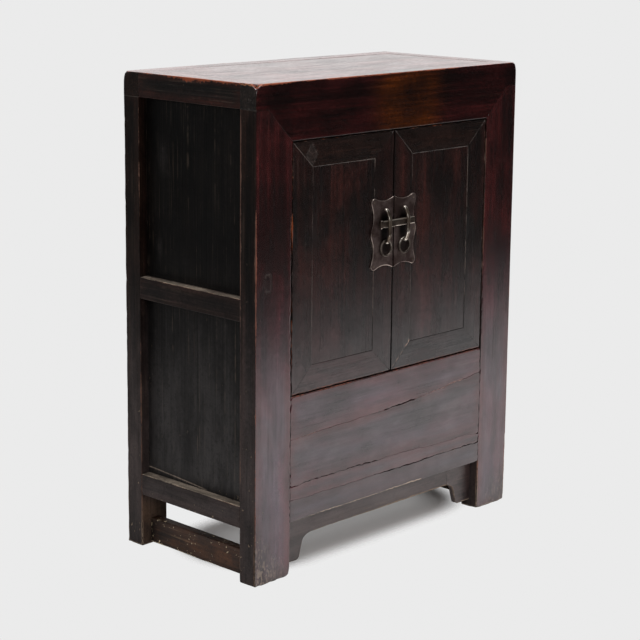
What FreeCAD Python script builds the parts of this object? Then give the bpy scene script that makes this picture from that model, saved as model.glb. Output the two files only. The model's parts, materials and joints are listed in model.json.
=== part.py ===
"""A two-door lacquered cabinet of frame-and-panel joinery, in millimetres.

X runs along the front from left to right, Y runs from front to back, Z is up.
The origin is on the floor, in the middle of the whole object's outline, hardware included.
Every wooden member is a piece of its own: rails carry tenons, legs carry the mortises and
grooves that receive them, and the doors turn on round pins cut on their hanging stiles.
"""
import FreeCAD
import Part
import math
import os
from FreeCAD import Vector

# Overall size of the carcass
WIDTH = 665.0
DEPTH = 325.0
HEIGHT = 840.0

# Legs
FRONT_LEG_WIDTH = 82.0
FRONT_LEG_DEPTH = 37.0
BACK_LEG_WIDTH = 57.0
BACK_LEG_DEPTH = 38.0

# Top frame
TOP_RAIL_HEIGHT = 42.0
FRONT_TOP_RAIL_HEIGHT = 97.0
TOP_PANEL_THICKNESS = 14.0
TOP_BATTEN_WIDTH = 40.0
TOP_BATTEN_THICKNESS = 18.0

# Side frames
SIDE_RAIL_THICKNESS = 35.0
SIDE_MID_RAIL_TOP = 487.0
SIDE_MID_RAIL_HEIGHT = 38.0
SIDE_LOW_RAIL_TOP = 133.0
SIDE_LOW_RAIL_HEIGHT = 38.0
SIDE_PANEL_RECESS = 17.0
SIDE_PANEL_THICKNESS = 10.0
STRETCHER_BOTTOM = 3.0
STRETCHER_HEIGHT = 45.0
STRETCHER_INSET = 20.0
STRETCHER_THICKNESS = 20.0

# Back frame
BACK_RAIL_THICKNESS = 32.0
BACK_MID_RAIL_HEIGHT = 38.0
BACK_PANEL_RECESS = 12.0
BACK_PANEL_THICKNESS = 10.0

# Front below the doors; the boards taper, so their seams have a left, middle and right height
SILL_TOP = 313.0
SILL_THICKNESS = 35.0
SILL_SEAM_HEIGHTS = (239.0, 246.0, 267.0)
BOARD_SEAM_HEIGHTS = (157.0, 158.0, 150.0)
BOARD_THICKNESS = 16.0
BOTTOM_RAIL_TOP = 131.0
BOTTOM_RAIL_HEIGHT = 37.0
APRON_RECESS = 18.0
APRON_THICKNESS = 10.0
APRON_DROP = 37.0
SPANDREL_REACH = 68.0
SPANDREL_FOOT_WIDTH = 42.0
SPANDREL_WAIST_WIDTH = 49.0
SPANDREL_DROP = 43.0
SPANDREL_WAIST_DROP = 11.0
SPANDREL_FOOT_RADIUS = 8.0

# Inside
SHELF_THICKNESS = 12.0
SHELF_SETBACK = 42.0
SHELF_REST = 5.0
FLOOR_THICKNESS = 12.0
LIFT_OUT_WIDTH = 170.0
BEARER_HEIGHT = 20.0
BEARER_DEPTH = 15.0
BOTTOM_BOARD_THICKNESS = 12.0
BOTTOM_BOARD_TOP = 127.0
DOOR_STOP_THICKNESS = 10.0
DOOR_STOP_OVERLAP = 8.0

# Doors
DOOR_GAP = 2.0
DOOR_THICKNESS = 22.0
DOOR_INSET = 1.0
DOOR_STILE_WIDTH = 48.0
DOOR_RAIL_WIDTH = 45.0
DOOR_MITRE_DEPTH = 5.0
DOOR_PANEL_THICKNESS = 10.0
DOOR_PANEL_RECESS = 0.5
DOOR_BATTEN_BELOW_MIDDLE = 85.0
DOOR_BATTEN_HEIGHT = 36.0
DOOR_BATTEN_THICKNESS = 8.5
HINGE_EDGE_RADIUS = 2.0
PIVOT_RADIUS = 4.5
PIVOT_LENGTH = 10.0
PIVOT_FROM_EDGE = 11.0
PIVOT_FROM_FACE = 7.0

# Hardware
PLATE_REACH = 57.0
PLATE_HEIGHT = 126.0
PLATE_THICKNESS = 2.0
PLATE_ABOVE_DOOR_MIDDLE = 36.0
PLATE_TOP_SCALLOP = 6.0
PLATE_SIDE_SCALLOP = 6.0
PLATE_CORNER = 9.0
PLATE_LOBE = 9.0
PLATE_EDGE_GAP = 0.5
HANDLE_FROM_MEETING = {"left": 20.0, "right": 26.0}
HANDLE_TOP = 41.0
HANDLE_BOTTOM = -17.0
HANDLE_STANDOFF = 12.0
HANDLE_RADIUS = 2.4
HANDLE_BEND = 6.0
CLINCH_BEND = 5.0
CLINCH_LENGTH = 9.0
RING_RADIUS = 13.6
RING_WIRE_RADIUS = 1.6
BOLT_LEFT_END = -40.0
BOLT_RIGHT_END = 48.0
BOLT_HEIGHT = 12.5
BOLT_ABOVE_CENTRE = 16.5
BOLT_HEAD_LENGTH = 6.0
BOLT_HEAD_HEIGHT = 16.0
BOLT_EDGE_RADIUS = 1.5
NAIL_RADIUS = 1.0
NAIL_HEAD_RADIUS = 1.9
NAIL_HEAD_HEIGHT = 0.6
NAIL_LENGTH = 9.0
NAIL_FROM_EDGE = 6.0

# Joinery
TENON_LENGTH = 22.0
TOP_TENON_LENGTH = 10.0
TENON_THICKNESS = 10.0
BACK_TENON_THICKNESS = 8.0
TENON_SHOULDER = 6.0
GROOVE_DEPTH = 8.0
TONGUE_THICKNESS = 4.0
JOINT_CLEARANCE = 0.2
PANEL_CLEARANCE = 0.3
RUNNING_CLEARANCE = 0.3

# Places worked out from the driving sizes
HARDWARE_REACH = HANDLE_STANDOFF + HANDLE_RADIUS - DOOR_INSET
FRONT_Y = (HARDWARE_REACH - DEPTH) / 2
BACK_Y = FRONT_Y + DEPTH
HALF_WIDTH = WIDTH / 2
HALF_OPENING = HALF_WIDTH - FRONT_LEG_WIDTH
OPENING_TOP = HEIGHT - FRONT_TOP_RAIL_HEIGHT
LEG_TOP = HEIGHT - TOP_RAIL_HEIGHT
SIDE_INNER = HALF_WIDTH - SIDE_RAIL_THICKNESS
FRONT_LEG_BACK = FRONT_Y + FRONT_LEG_DEPTH
BACK_LEG_FRONT = BACK_Y - BACK_LEG_DEPTH
BACK_RAIL_FRONT = BACK_Y - BACK_RAIL_THICKNESS
BACK_PANEL_BACK = BACK_Y - BACK_PANEL_RECESS
BACK_PANEL_FRONT = BACK_PANEL_BACK - BACK_PANEL_THICKNESS
BOTTOM_RAIL_BOTTOM = BOTTOM_RAIL_TOP - BOTTOM_RAIL_HEIGHT
FLOOR_UNDERSIDE = SILL_TOP - FLOOR_THICKNESS
DOOR_FACE = FRONT_Y + DOOR_INSET
DOOR_BACK = DOOR_FACE + DOOR_THICKNESS
DOOR_OUTER = HALF_OPENING - DOOR_GAP
DOOR_MEETING = DOOR_GAP / 2
DOOR_BOTTOM = SILL_TOP + DOOR_GAP
DOOR_TOP = OPENING_TOP - DOOR_GAP
DOOR_MIDDLE = (DOOR_BOTTOM + DOOR_TOP) / 2
PLATE_CENTRE_HEIGHT = DOOR_MIDDLE + PLATE_ABOVE_DOOR_MIDDLE
PIVOT_X = DOOR_OUTER - PIVOT_FROM_EDGE
PIVOT_Y = DOOR_FACE + PIVOT_FROM_FACE
PLATE_FACE = DOOR_FACE - PLATE_THICKNESS
HANDLE_BACK = DOOR_FACE - HANDLE_STANDOFF + HANDLE_RADIUS
RING_CLEARANCE = RUNNING_CLEARANCE
RING_PIVOT_HEIGHT = (PLATE_CENTRE_HEIGHT + HANDLE_BOTTOM + HANDLE_RADIUS
                     + RING_CLEARANCE + RING_WIRE_RADIUS)
RING_PIVOT_Y = PLATE_FACE - RING_CLEARANCE - RING_WIRE_RADIUS
BOLT_BACK = PLATE_FACE - RUNNING_CLEARANCE
BOLT_FRONT = HANDLE_BACK + RUNNING_CLEARANCE


# A block is its two limits along X, along Y and along Z
def block(x, y, z):
    """A block with its limits put in rising order."""
    return tuple(sorted(x)), tuple(sorted(y)), tuple(sorted(z))


def solid(limits):
    """The solid of a block."""
    (x0, x1), (y0, y1), (z0, z1) = limits
    return Part.makeBox(x1 - x0, y1 - y0, z1 - z0, Vector(x0, y0, z0))


def grown(limits, clearance):
    """The solid of a block made larger by a clearance on every side."""
    return solid([(low - clearance, high + clearance) for low, high in limits])


def seat(limits, clearance):
    """The room a resting block needs: a clearance at its sides and above, and none under it."""
    (x0, x1), (y0, y1), (z0, z1) = limits
    return solid([(x0 - clearance, x1 + clearance), (y0 - clearance, y1 + clearance), (z0, z1 + clearance)])


def fused(*shapes):
    """One solid from overlapping or touching shapes, with its flat faces joined up."""
    whole = shapes[0]
    for shape in shapes[1:]:
        whole = whole.fuse(shape)
    return whole.removeSplitter()


def without(shape, cutters):
    """A shape with every cutter taken out of it."""
    for cutter in cutters:
        shape = shape.cut(cutter)
    return shape


def plate_in_xz(points, y_low, y_high):
    """A flat board: an outline of X and Z points, carried from one Y to another."""
    corners = [Vector(x, y_low, z) for x, z in points]
    face = Part.Face(Part.makePolygon(corners + corners[:1]))
    return face.extrude(Vector(0, y_high - y_low, 0))


def mirrored(shape):
    """The same piece on the other side of the cabinet's middle plane."""
    return shape.mirror(Vector(0, 0, 0), Vector(1, 0, 0))


def pair(name, left_shape):
    """Left and right nodes of a piece that was drawn on the left."""
    return {f"{name}_left": left_shape, f"{name}_right": mirrored(left_shape)}


def tenon_along_y(x_middle, shoulder_y, length, z_low, z_high):
    """A rail's tenon that runs into a leg or a top rail; a negative length points to the front."""
    reach = shoulder_y + length
    half = TENON_THICKNESS / 2
    return block((x_middle - half, x_middle + half), (shoulder_y, reach),
                 (z_low + TENON_SHOULDER, z_high - TENON_SHOULDER))


def tenon_along_x(y_middle, z_low, z_high):
    """The left tenon of a rail between the front legs, outside the opening's left edge."""
    half = TENON_THICKNESS / 2
    return block((-HALF_OPENING - TENON_LENGTH, -HALF_OPENING), (y_middle - half, y_middle + half),
                 (z_low + TENON_SHOULDER, z_high - TENON_SHOULDER))


def opposite(limits):
    """The block on the other side of the cabinet's middle plane."""
    return block([-value for value in limits[0]], limits[1], limits[2])


def seam_points(heights):
    """A seam across the front opening: its left, middle and right points."""
    left, middle, right = heights
    return [(-HALF_OPENING, left), (0.0, middle), (HALF_OPENING, right)]


# Blocks that more than one piece needs
SIDE_RAIL_X = (-HALF_WIDTH, -SIDE_INNER)
SIDE_RAIL_MIDDLE = -(HALF_WIDTH + SIDE_INNER) / 2
SIDE_RAIL_Y = (FRONT_LEG_BACK, BACK_LEG_FRONT)
SIDE_PANEL_X = (-HALF_WIDTH + SIDE_PANEL_RECESS, -HALF_WIDTH + SIDE_PANEL_RECESS + SIDE_PANEL_THICKNESS)
STRETCHER_X = (-HALF_WIDTH + STRETCHER_INSET, -HALF_WIDTH + STRETCHER_INSET + STRETCHER_THICKNESS)
FRONT_LEG_BLOCK = block((-HALF_WIDTH, -HALF_OPENING), (FRONT_Y, FRONT_LEG_BACK), (0, LEG_TOP))
BACK_LEG_INNER = HALF_WIDTH - BACK_LEG_WIDTH
BACK_LEG_BLOCK = block((-HALF_WIDTH, -BACK_LEG_INNER), (BACK_LEG_FRONT, BACK_Y), (0, LEG_TOP))
SIDE_RAIL_HEIGHTS = {
    "mid": (SIDE_MID_RAIL_TOP - SIDE_MID_RAIL_HEIGHT, SIDE_MID_RAIL_TOP),
    "low": (SIDE_LOW_RAIL_TOP - SIDE_LOW_RAIL_HEIGHT, SIDE_LOW_RAIL_TOP),
}
STRETCHER_HEIGHTS = (STRETCHER_BOTTOM, STRETCHER_BOTTOM + STRETCHER_HEIGHT)
BACK_RAIL_HEIGHTS = {
    "mid": (SILL_TOP - BACK_MID_RAIL_HEIGHT, SILL_TOP),
    "low": SIDE_RAIL_HEIGHTS["low"],
}
TOP_PANEL_BLOCK = block((-SIDE_INNER + PANEL_CLEARANCE, SIDE_INNER - PANEL_CLEARANCE),
                        (FRONT_LEG_BACK + PANEL_CLEARANCE, BACK_LEG_FRONT - PANEL_CLEARANCE),
                        (HEIGHT - TOP_PANEL_THICKNESS, HEIGHT))
TOP_TONGUE_BLOCK = block((-SIDE_INNER - GROOVE_DEPTH + PANEL_CLEARANCE,
                          SIDE_INNER + GROOVE_DEPTH - PANEL_CLEARANCE),
                         (FRONT_LEG_BACK - GROOVE_DEPTH + PANEL_CLEARANCE,
                          BACK_LEG_FRONT + GROOVE_DEPTH - PANEL_CLEARANCE),
                         (HEIGHT - TOP_PANEL_THICKNESS, HEIGHT - TOP_PANEL_THICKNESS + TONGUE_THICKNESS))
TOP_BATTEN_TOP = HEIGHT - TOP_PANEL_THICKNESS
TOP_BATTEN_HEIGHTS = (TOP_BATTEN_TOP - TOP_BATTEN_THICKNESS, TOP_BATTEN_TOP)
TOP_BATTEN_TENONS = [
    block((-TENON_THICKNESS / 2, TENON_THICKNESS / 2), (FRONT_LEG_BACK - GROOVE_DEPTH, FRONT_LEG_BACK),
          TOP_BATTEN_HEIGHTS),
    block((-TENON_THICKNESS / 2, TENON_THICKNESS / 2), (BACK_LEG_FRONT, BACK_LEG_FRONT + GROOVE_DEPTH),
          TOP_BATTEN_HEIGHTS),
]
SHELF_BLOCK = block((-SIDE_INNER - SHELF_REST + PANEL_CLEARANCE, SIDE_INNER + SHELF_REST - PANEL_CLEARANCE),
                    (FRONT_Y + SHELF_SETBACK, BACK_PANEL_FRONT - PANEL_CLEARANCE),
                    (SIDE_MID_RAIL_TOP - SHELF_THICKNESS, SIDE_MID_RAIL_TOP))
BOTTOM_BOARD_BLOCK = block((-SIDE_INNER + PANEL_CLEARANCE, SIDE_INNER - PANEL_CLEARANCE),
                           (FRONT_Y + SILL_THICKNESS - GROOVE_DEPTH + PANEL_CLEARANCE,
                            BACK_RAIL_FRONT + GROOVE_DEPTH - PANEL_CLEARANCE),
                           (BOTTOM_BOARD_TOP - BOTTOM_BOARD_THICKNESS, BOTTOM_BOARD_TOP))


def side_rail_tenons(heights):
    """The front and back tenons of a left side rail."""
    return [tenon_along_y(SIDE_RAIL_MIDDLE, FRONT_LEG_BACK, -TENON_LENGTH, *heights),
            tenon_along_y(SIDE_RAIL_MIDDLE, BACK_LEG_FRONT, TENON_LENGTH, *heights)]


def stretcher_tenons():
    """The front and back tenons of the left stretcher."""
    middle = sum(STRETCHER_X) / 2
    return [tenon_along_y(middle, FRONT_LEG_BACK, -TENON_LENGTH, *STRETCHER_HEIGHTS),
            tenon_along_y(middle, BACK_LEG_FRONT, TENON_LENGTH, *STRETCHER_HEIGHTS)]


def side_panel_block(z_low, z_high):
    """A left side panel between two rails, with its edges in their grooves and the legs'."""
    reach = GROOVE_DEPTH - PANEL_CLEARANCE
    y_limits = (SIDE_RAIL_Y[0] - reach, SIDE_RAIL_Y[1] + reach)
    return block(SIDE_PANEL_X, y_limits, (z_low - reach, z_high + reach))


SIDE_PANEL_BLOCKS = {
    "upper": side_panel_block(SIDE_MID_RAIL_TOP, LEG_TOP),
    "lower": side_panel_block(SIDE_LOW_RAIL_TOP, SIDE_RAIL_HEIGHTS["mid"][0]),
}
SIDE_PANEL_GROOVES = [seat(limits, PANEL_CLEARANCE) for limits in SIDE_PANEL_BLOCKS.values()]


def back_panel_block(z_low, z_high):
    """A back panel between two rails, with its edges in their grooves and the back legs'."""
    reach = GROOVE_DEPTH - PANEL_CLEARANCE
    return block((-BACK_LEG_INNER - reach, BACK_LEG_INNER + reach), (BACK_PANEL_FRONT, BACK_PANEL_BACK),
                 (z_low - reach, z_high + reach))


BACK_PANEL_BLOCKS = {
    "upper": back_panel_block(SILL_TOP, LEG_TOP),
    "lower": back_panel_block(SIDE_LOW_RAIL_TOP, BACK_RAIL_HEIGHTS["mid"][0]),
}
BACK_PANEL_GROOVES = [seat(limits, PANEL_CLEARANCE) for limits in BACK_PANEL_BLOCKS.values()]


def back_rail_tenon(heights):
    """The left tenon of a back rail, in the back leg."""
    middle = (BACK_RAIL_FRONT + BACK_PANEL_FRONT) / 2
    half = BACK_TENON_THICKNESS / 2
    return block((-BACK_LEG_INNER - TENON_LENGTH, -BACK_LEG_INNER), (middle - half, middle + half),
                 (heights[0] + TENON_SHOULDER, heights[1] - TENON_SHOULDER))


FRONT_RAIL_MIDDLE = FRONT_Y + (BOARD_THICKNESS + SILL_THICKNESS) / 2
SILL_TENON = tenon_along_x(FRONT_RAIL_MIDDLE, max(SILL_SEAM_HEIGHTS), SILL_TOP)
BOTTOM_RAIL_TENON = tenon_along_x(FRONT_RAIL_MIDDLE, BOTTOM_RAIL_BOTTOM, BOTTOM_RAIL_TOP)
BOARD_TONGUE_Y = (FRONT_Y + (BOARD_THICKNESS - TONGUE_THICKNESS) / 2,
                  FRONT_Y + (BOARD_THICKNESS + TONGUE_THICKNESS) / 2)
BOARD_TONGUE = block((-HALF_OPENING - GROOVE_DEPTH + PANEL_CLEARANCE, -HALF_OPENING), BOARD_TONGUE_Y,
                     (BOTTOM_RAIL_TOP, SILL_SEAM_HEIGHTS[0]))
BOARD_TONGUE_RIGHT = block((HALF_OPENING, HALF_OPENING + GROOVE_DEPTH - PANEL_CLEARANCE), BOARD_TONGUE_Y,
                           (BOTTOM_RAIL_TOP, SILL_SEAM_HEIGHTS[-1]))


def leg_top_tenon(x_low, x_high, y_low, y_high):
    """The tenon that stands on a leg and enters the top frame."""
    y_middle = (y_low + y_high) / 2
    half = TENON_THICKNESS / 2
    return block((x_low + TENON_SHOULDER, x_high), (y_middle - half, y_middle + half),
                 (LEG_TOP, LEG_TOP + TENON_LENGTH))


# The front leg's top tenon stops short of the mitre, which rises at 45 degrees
MITRE_RISE = LEG_TOP - OPENING_TOP
FRONT_LEG_TOP_TENON = leg_top_tenon(-HALF_WIDTH, -HALF_OPENING - MITRE_RISE, FRONT_Y, FRONT_LEG_BACK)
BACK_LEG_TOP_TENON = leg_top_tenon(-HALF_WIDTH, -BACK_LEG_INNER - TENON_SHOULDER, BACK_LEG_FRONT, BACK_Y)


def front_leg():
    """The left front leg: a broad stile whose head is mitred to the top rail."""
    outline = [(-HALF_WIDTH, 0), (-HALF_OPENING, 0), (-HALF_OPENING, OPENING_TOP),
               (-HALF_OPENING - MITRE_RISE, LEG_TOP), (-HALF_WIDTH, LEG_TOP)]
    blank = fused(plate_in_xz(outline, FRONT_Y, FRONT_LEG_BACK), solid(FRONT_LEG_TOP_TENON))
    mortises = [grown(tenon, JOINT_CLEARANCE) for tenon in
                [SILL_TENON, BOTTOM_RAIL_TENON, stretcher_tenons()[0],
                 *(side_rail_tenons(heights)[0] for heights in SIDE_RAIL_HEIGHTS.values())]]
    return without(blank, mortises + SIDE_PANEL_GROOVES)


def front_legs():
    """Both front legs, each grooved for the boards that end in it."""
    left, right = front_leg(), mirrored(front_leg())
    return {"front_leg_left": left.cut(grown(BOARD_TONGUE, PANEL_CLEARANCE)),
            "front_leg_right": right.cut(grown(BOARD_TONGUE_RIGHT, PANEL_CLEARANCE))}


def back_leg():
    """The left back leg."""
    blank = fused(solid(BACK_LEG_BLOCK), solid(BACK_LEG_TOP_TENON))
    mortises = [grown(tenon, JOINT_CLEARANCE) for tenon in
                [stretcher_tenons()[1],
                 *(back_rail_tenon(heights) for heights in BACK_RAIL_HEIGHTS.values()),
                 *(side_rail_tenons(heights)[1] for heights in SIDE_RAIL_HEIGHTS.values())]]
    return without(blank, mortises + SIDE_PANEL_GROOVES + BACK_PANEL_GROOVES)


# The side top rails' tenons are short, so that they stop before the tenons on the legs' heads
SIDE_TOP_RAIL_TENONS = [
    tenon_along_y(SIDE_RAIL_MIDDLE, FRONT_LEG_BACK, -TOP_TENON_LENGTH, LEG_TOP, TOP_BATTEN_TOP),
    tenon_along_y(SIDE_RAIL_MIDDLE, BACK_LEG_FRONT, TOP_TENON_LENGTH, LEG_TOP, TOP_BATTEN_TOP),
]


def pivot_socket(z_low, z_high):
    """The left door's socket, a round hole that its pin turns in."""
    radius = PIVOT_RADIUS + RUNNING_CLEARANCE
    return Part.makeCylinder(radius, z_high - z_low, Vector(-PIVOT_X, PIVOT_Y, z_low))


def both(shapes):
    """Cutters for the left side, and the same cutters for the right side."""
    return list(shapes) + [mirrored(shape) for shape in shapes]


def front_top_rail():
    """The broad rail over the doors, full width above the legs and mitred between them."""
    half = [(HALF_WIDTH, LEG_TOP), (HALF_OPENING + MITRE_RISE, LEG_TOP), (HALF_OPENING, OPENING_TOP)]
    outline = [(-HALF_WIDTH, HEIGHT), (HALF_WIDTH, HEIGHT), *half, *((-x, z) for x, z in reversed(half))]
    blank = plate_in_xz(outline, FRONT_Y, FRONT_LEG_BACK)
    sockets = pivot_socket(OPENING_TOP, OPENING_TOP + PIVOT_LENGTH + RUNNING_CLEARANCE)
    cutters = both([grown(FRONT_LEG_TOP_TENON, JOINT_CLEARANCE),
                    grown(SIDE_TOP_RAIL_TENONS[0], JOINT_CLEARANCE), sockets, *SIDE_PANEL_GROOVES])
    cutters += [seat(TOP_TONGUE_BLOCK, PANEL_CLEARANCE), grown(TOP_BATTEN_TENONS[0], JOINT_CLEARANCE)]
    return without(blank, cutters)


def back_top_rail():
    """The rail over the back legs, full width."""
    blank = solid(block((-HALF_WIDTH, HALF_WIDTH), (BACK_LEG_FRONT, BACK_Y), (LEG_TOP, HEIGHT)))
    cutters = both([grown(BACK_LEG_TOP_TENON, JOINT_CLEARANCE),
                    grown(SIDE_TOP_RAIL_TENONS[1], JOINT_CLEARANCE), *SIDE_PANEL_GROOVES])
    cutters += [seat(TOP_TONGUE_BLOCK, PANEL_CLEARANCE), grown(TOP_BATTEN_TENONS[1], JOINT_CLEARANCE)]
    return without(blank, cutters + BACK_PANEL_GROOVES)


def side_rail(heights, tenons):
    """A left side rail between the legs, with a tenon at each end and grooves for the panels."""
    blank = fused(solid(block(SIDE_RAIL_X, SIDE_RAIL_Y, heights)), *(solid(tenon) for tenon in tenons))
    return without(blank, SIDE_PANEL_GROOVES)


def side_frames():
    """Rails, stretchers and panels of the two sides."""
    top = side_rail((LEG_TOP, HEIGHT), SIDE_TOP_RAIL_TENONS).cut(seat(TOP_TONGUE_BLOCK, PANEL_CLEARANCE))
    stretcher = fused(solid(block(STRETCHER_X, SIDE_RAIL_Y, STRETCHER_HEIGHTS)),
                      *(solid(tenon) for tenon in stretcher_tenons()))
    pieces = {**pair("side_top_rail", top), **pair("side_stretcher", stretcher)}
    for place, heights in SIDE_RAIL_HEIGHTS.items():
        rail = side_rail(heights, side_rail_tenons(heights))
        pieces.update(pair(f"side_{place}_rail", rail.cut(seat(SHELF_BLOCK, PANEL_CLEARANCE))))
    for place, limits in SIDE_PANEL_BLOCKS.items():
        pieces.update(pair(f"side_panel_{place}", solid(limits)))
    return pieces


def back_frame():
    """Rails and panels of the back."""
    pieces = {}
    for place, heights in BACK_RAIL_HEIGHTS.items():
        tenon = back_rail_tenon(heights)
        body = block((-BACK_LEG_INNER, BACK_LEG_INNER), (BACK_RAIL_FRONT, BACK_Y), heights)
        rail = fused(solid(body), solid(tenon), solid(opposite(tenon)))
        cutters = BACK_PANEL_GROOVES + ([seat(BOTTOM_BOARD_BLOCK, PANEL_CLEARANCE)] if place == "low" else [])
        pieces[f"back_{place}_rail"] = without(rail, cutters)
    for place, limits in BACK_PANEL_BLOCKS.items():
        pieces[f"back_panel_{place}"] = solid(limits)
    return pieces


def top_panel():
    """The flush top panel, with a tongue all round, and the batten that keeps it flat."""
    panel = fused(solid(TOP_PANEL_BLOCK), solid(TOP_TONGUE_BLOCK))
    half = TOP_BATTEN_WIDTH / 2
    body = block((-half, half), (FRONT_LEG_BACK, BACK_LEG_FRONT), TOP_BATTEN_HEIGHTS)
    batten = fused(solid(body), *(solid(tenon) for tenon in TOP_BATTEN_TENONS))
    return {"top_panel": panel, "top_batten": batten}


def lower_front():
    """The sill, two tapering boards and the bottom rail below the doors."""
    sill_seam, board_seam = seam_points(SILL_SEAM_HEIGHTS), seam_points(BOARD_SEAM_HEIGHTS)
    top = [(HALF_OPENING, SILL_TOP), (-HALF_OPENING, SILL_TOP)]
    bottom = [(-HALF_OPENING, BOTTOM_RAIL_TOP), (HALF_OPENING, BOTTOM_RAIL_TOP)]
    sill = fused(plate_in_xz(sill_seam + top, FRONT_Y, FRONT_Y + SILL_THICKNESS),
                 solid(SILL_TENON), solid(opposite(SILL_TENON)))
    sockets = both([pivot_socket(SILL_TOP - PIVOT_LENGTH - RUNNING_CLEARANCE, SILL_TOP)])
    upper_outline = board_seam + sill_seam[::-1]
    lower_outline = bottom + board_seam[::-1]
    boards = {}
    for place, outline in (("upper", upper_outline), ("lower", lower_outline)):
        board = plate_in_xz(outline, FRONT_Y, FRONT_Y + BOARD_THICKNESS)
        boards[place] = board
    # Each board's ends carry a share of the tongues, up to the seam between them
    left_split, right_split = BOARD_SEAM_HEIGHTS[0], BOARD_SEAM_HEIGHTS[-1]
    for tongue, split in ((BOARD_TONGUE, left_split), (BOARD_TONGUE_RIGHT, right_split)):
        x, y, (z_low, z_high) = tongue
        boards["lower"] = fused(boards["lower"], solid(block(x, y, (z_low, split))))
        boards["upper"] = fused(boards["upper"], solid(block(x, y, (split, z_high))))
    body = block((-HALF_OPENING, HALF_OPENING), (FRONT_Y, FRONT_Y + SILL_THICKNESS),
                 (BOTTOM_RAIL_BOTTOM, BOTTOM_RAIL_TOP))
    rail = fused(solid(body), solid(BOTTOM_RAIL_TENON), solid(opposite(BOTTOM_RAIL_TENON)))
    return {"door_sill": without(sill, sockets), "front_board_upper": boards["upper"],
            "front_board_lower": boards["lower"],
            "front_bottom_rail": rail.cut(seat(BOTTOM_BOARD_BLOCK, PANEL_CLEARANCE))}


def spandrel_face():
    """The left spandrel's outline: a foot with a round toe, a waist, and a curve up to the apron."""
    edge = -HALF_OPENING
    top = BOTTOM_RAIL_BOTTOM
    foot = top - APRON_DROP - SPANDREL_DROP
    low_edge = top - APRON_DROP
    waist = Vector(edge + SPANDREL_WAIST_WIDTH, 0, low_edge - SPANDREL_WAIST_DROP)
    tip = Vector(edge + SPANDREL_REACH, 0, low_edge)
    toe_side = Vector(edge + SPANDREL_FOOT_WIDTH, 0, foot + SPANDREL_FOOT_RADIUS)
    toe_under = Vector(edge + SPANDREL_FOOT_WIDTH - SPANDREL_FOOT_RADIUS, 0, foot)
    turn = SPANDREL_FOOT_RADIUS * (1 - math.sqrt(0.5))
    toe_middle = Vector(edge + SPANDREL_FOOT_WIDTH - turn, 0, foot + turn)
    # The curve to the apron bows inwards by a sixth of its chord
    chord = tip - waist
    bow = Vector(-chord.z, 0, chord.x) * (1 / 6)
    corners = [Vector(edge, 0, foot), Vector(edge, 0, top), Vector(edge + SPANDREL_REACH, 0, top)]
    edges = [Part.LineSegment(corners[0], corners[1]), Part.LineSegment(corners[1], corners[2]),
             Part.LineSegment(corners[2], tip), Part.Arc(tip, (tip + waist) * 0.5 + bow, waist),
             Part.LineSegment(waist, toe_side), Part.Arc(toe_side, toe_middle, toe_under),
             Part.LineSegment(toe_under, corners[0])]
    return Part.Face(Part.Wire([piece.toShape() for piece in edges]))


def apron():
    """The apron under the bottom rail, and the spandrel at each of its ends."""
    y_low = FRONT_Y + APRON_RECESS
    face = spandrel_face()
    face.translate(Vector(0, y_low, 0))
    spandrel = face.extrude(Vector(0, APRON_THICKNESS, 0))
    inner = HALF_OPENING - SPANDREL_REACH
    strip = block((-inner, inner), (y_low, y_low + APRON_THICKNESS),
                  (BOTTOM_RAIL_BOTTOM - APRON_DROP, BOTTOM_RAIL_BOTTOM))
    return {"apron_strip": solid(strip), **pair("apron_spandrel", spandrel)}


def leg_notches():
    """Cutters that let a shelf or floor pass the four legs."""
    return both([grown(FRONT_LEG_BLOCK, PANEL_CLEARANCE), grown(BACK_LEG_BLOCK, PANEL_CLEARANCE)])


def inside():
    """Shelf, floor over the hidden compartment, bottom board, bearers and the door stop."""
    floor_y = (FRONT_Y + SILL_THICKNESS + PANEL_CLEARANCE, BACK_RAIL_FRONT - PANEL_CLEARANCE)
    floor_z = (FLOOR_UNDERSIDE, SILL_TOP)
    half_lid = LIFT_OUT_WIDTH / 2
    side_edge = HALF_WIDTH - SIDE_PANEL_RECESS - SIDE_PANEL_THICKNESS - PANEL_CLEARANCE
    floor_board = block((-side_edge, -half_lid - PANEL_CLEARANCE), floor_y, floor_z)
    lid = block((-half_lid, half_lid), floor_y, floor_z)
    bearer_z = (FLOOR_UNDERSIDE - BEARER_HEIGHT, FLOOR_UNDERSIDE)
    bearer_x = (-HALF_OPENING, HALF_OPENING)
    sill_back = FRONT_Y + SILL_THICKNESS
    front_bearer = block(bearer_x, (sill_back, sill_back + BEARER_DEPTH), bearer_z)
    back_bearer = block(bearer_x, (BACK_RAIL_FRONT - BEARER_DEPTH, BACK_RAIL_FRONT), bearer_z)
    # The stop ends a door's thickness inside the pins, so that the turning hanging stiles clear it
    half_stop = PIVOT_X - DOOR_THICKNESS
    stop = block((-half_stop, half_stop), (DOOR_BACK, DOOR_BACK + DOOR_STOP_THICKNESS),
                 (OPENING_TOP - DOOR_STOP_OVERLAP, OPENING_TOP))
    notches = leg_notches()
    pieces = {"shelf": without(solid(SHELF_BLOCK), notches), "floor_lift_out_board": solid(lid),
              "floor_bearer_front": solid(front_bearer), "floor_bearer_back": solid(back_bearer),
              "bottom_board": without(solid(BOTTOM_BOARD_BLOCK), notches), "door_stop": solid(stop)}
    pieces.update(pair("floor_board", without(solid(floor_board), notches)))
    return pieces


def door_member(mitred_outline, body, *extras):
    """A door frame member: a mitred face in front, a plain body behind it, and tenons or pins."""
    face = plate_in_xz(mitred_outline, DOOR_FACE, DOOR_FACE + DOOR_MITRE_DEPTH)
    return fused(face, solid(body), *extras)


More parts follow.
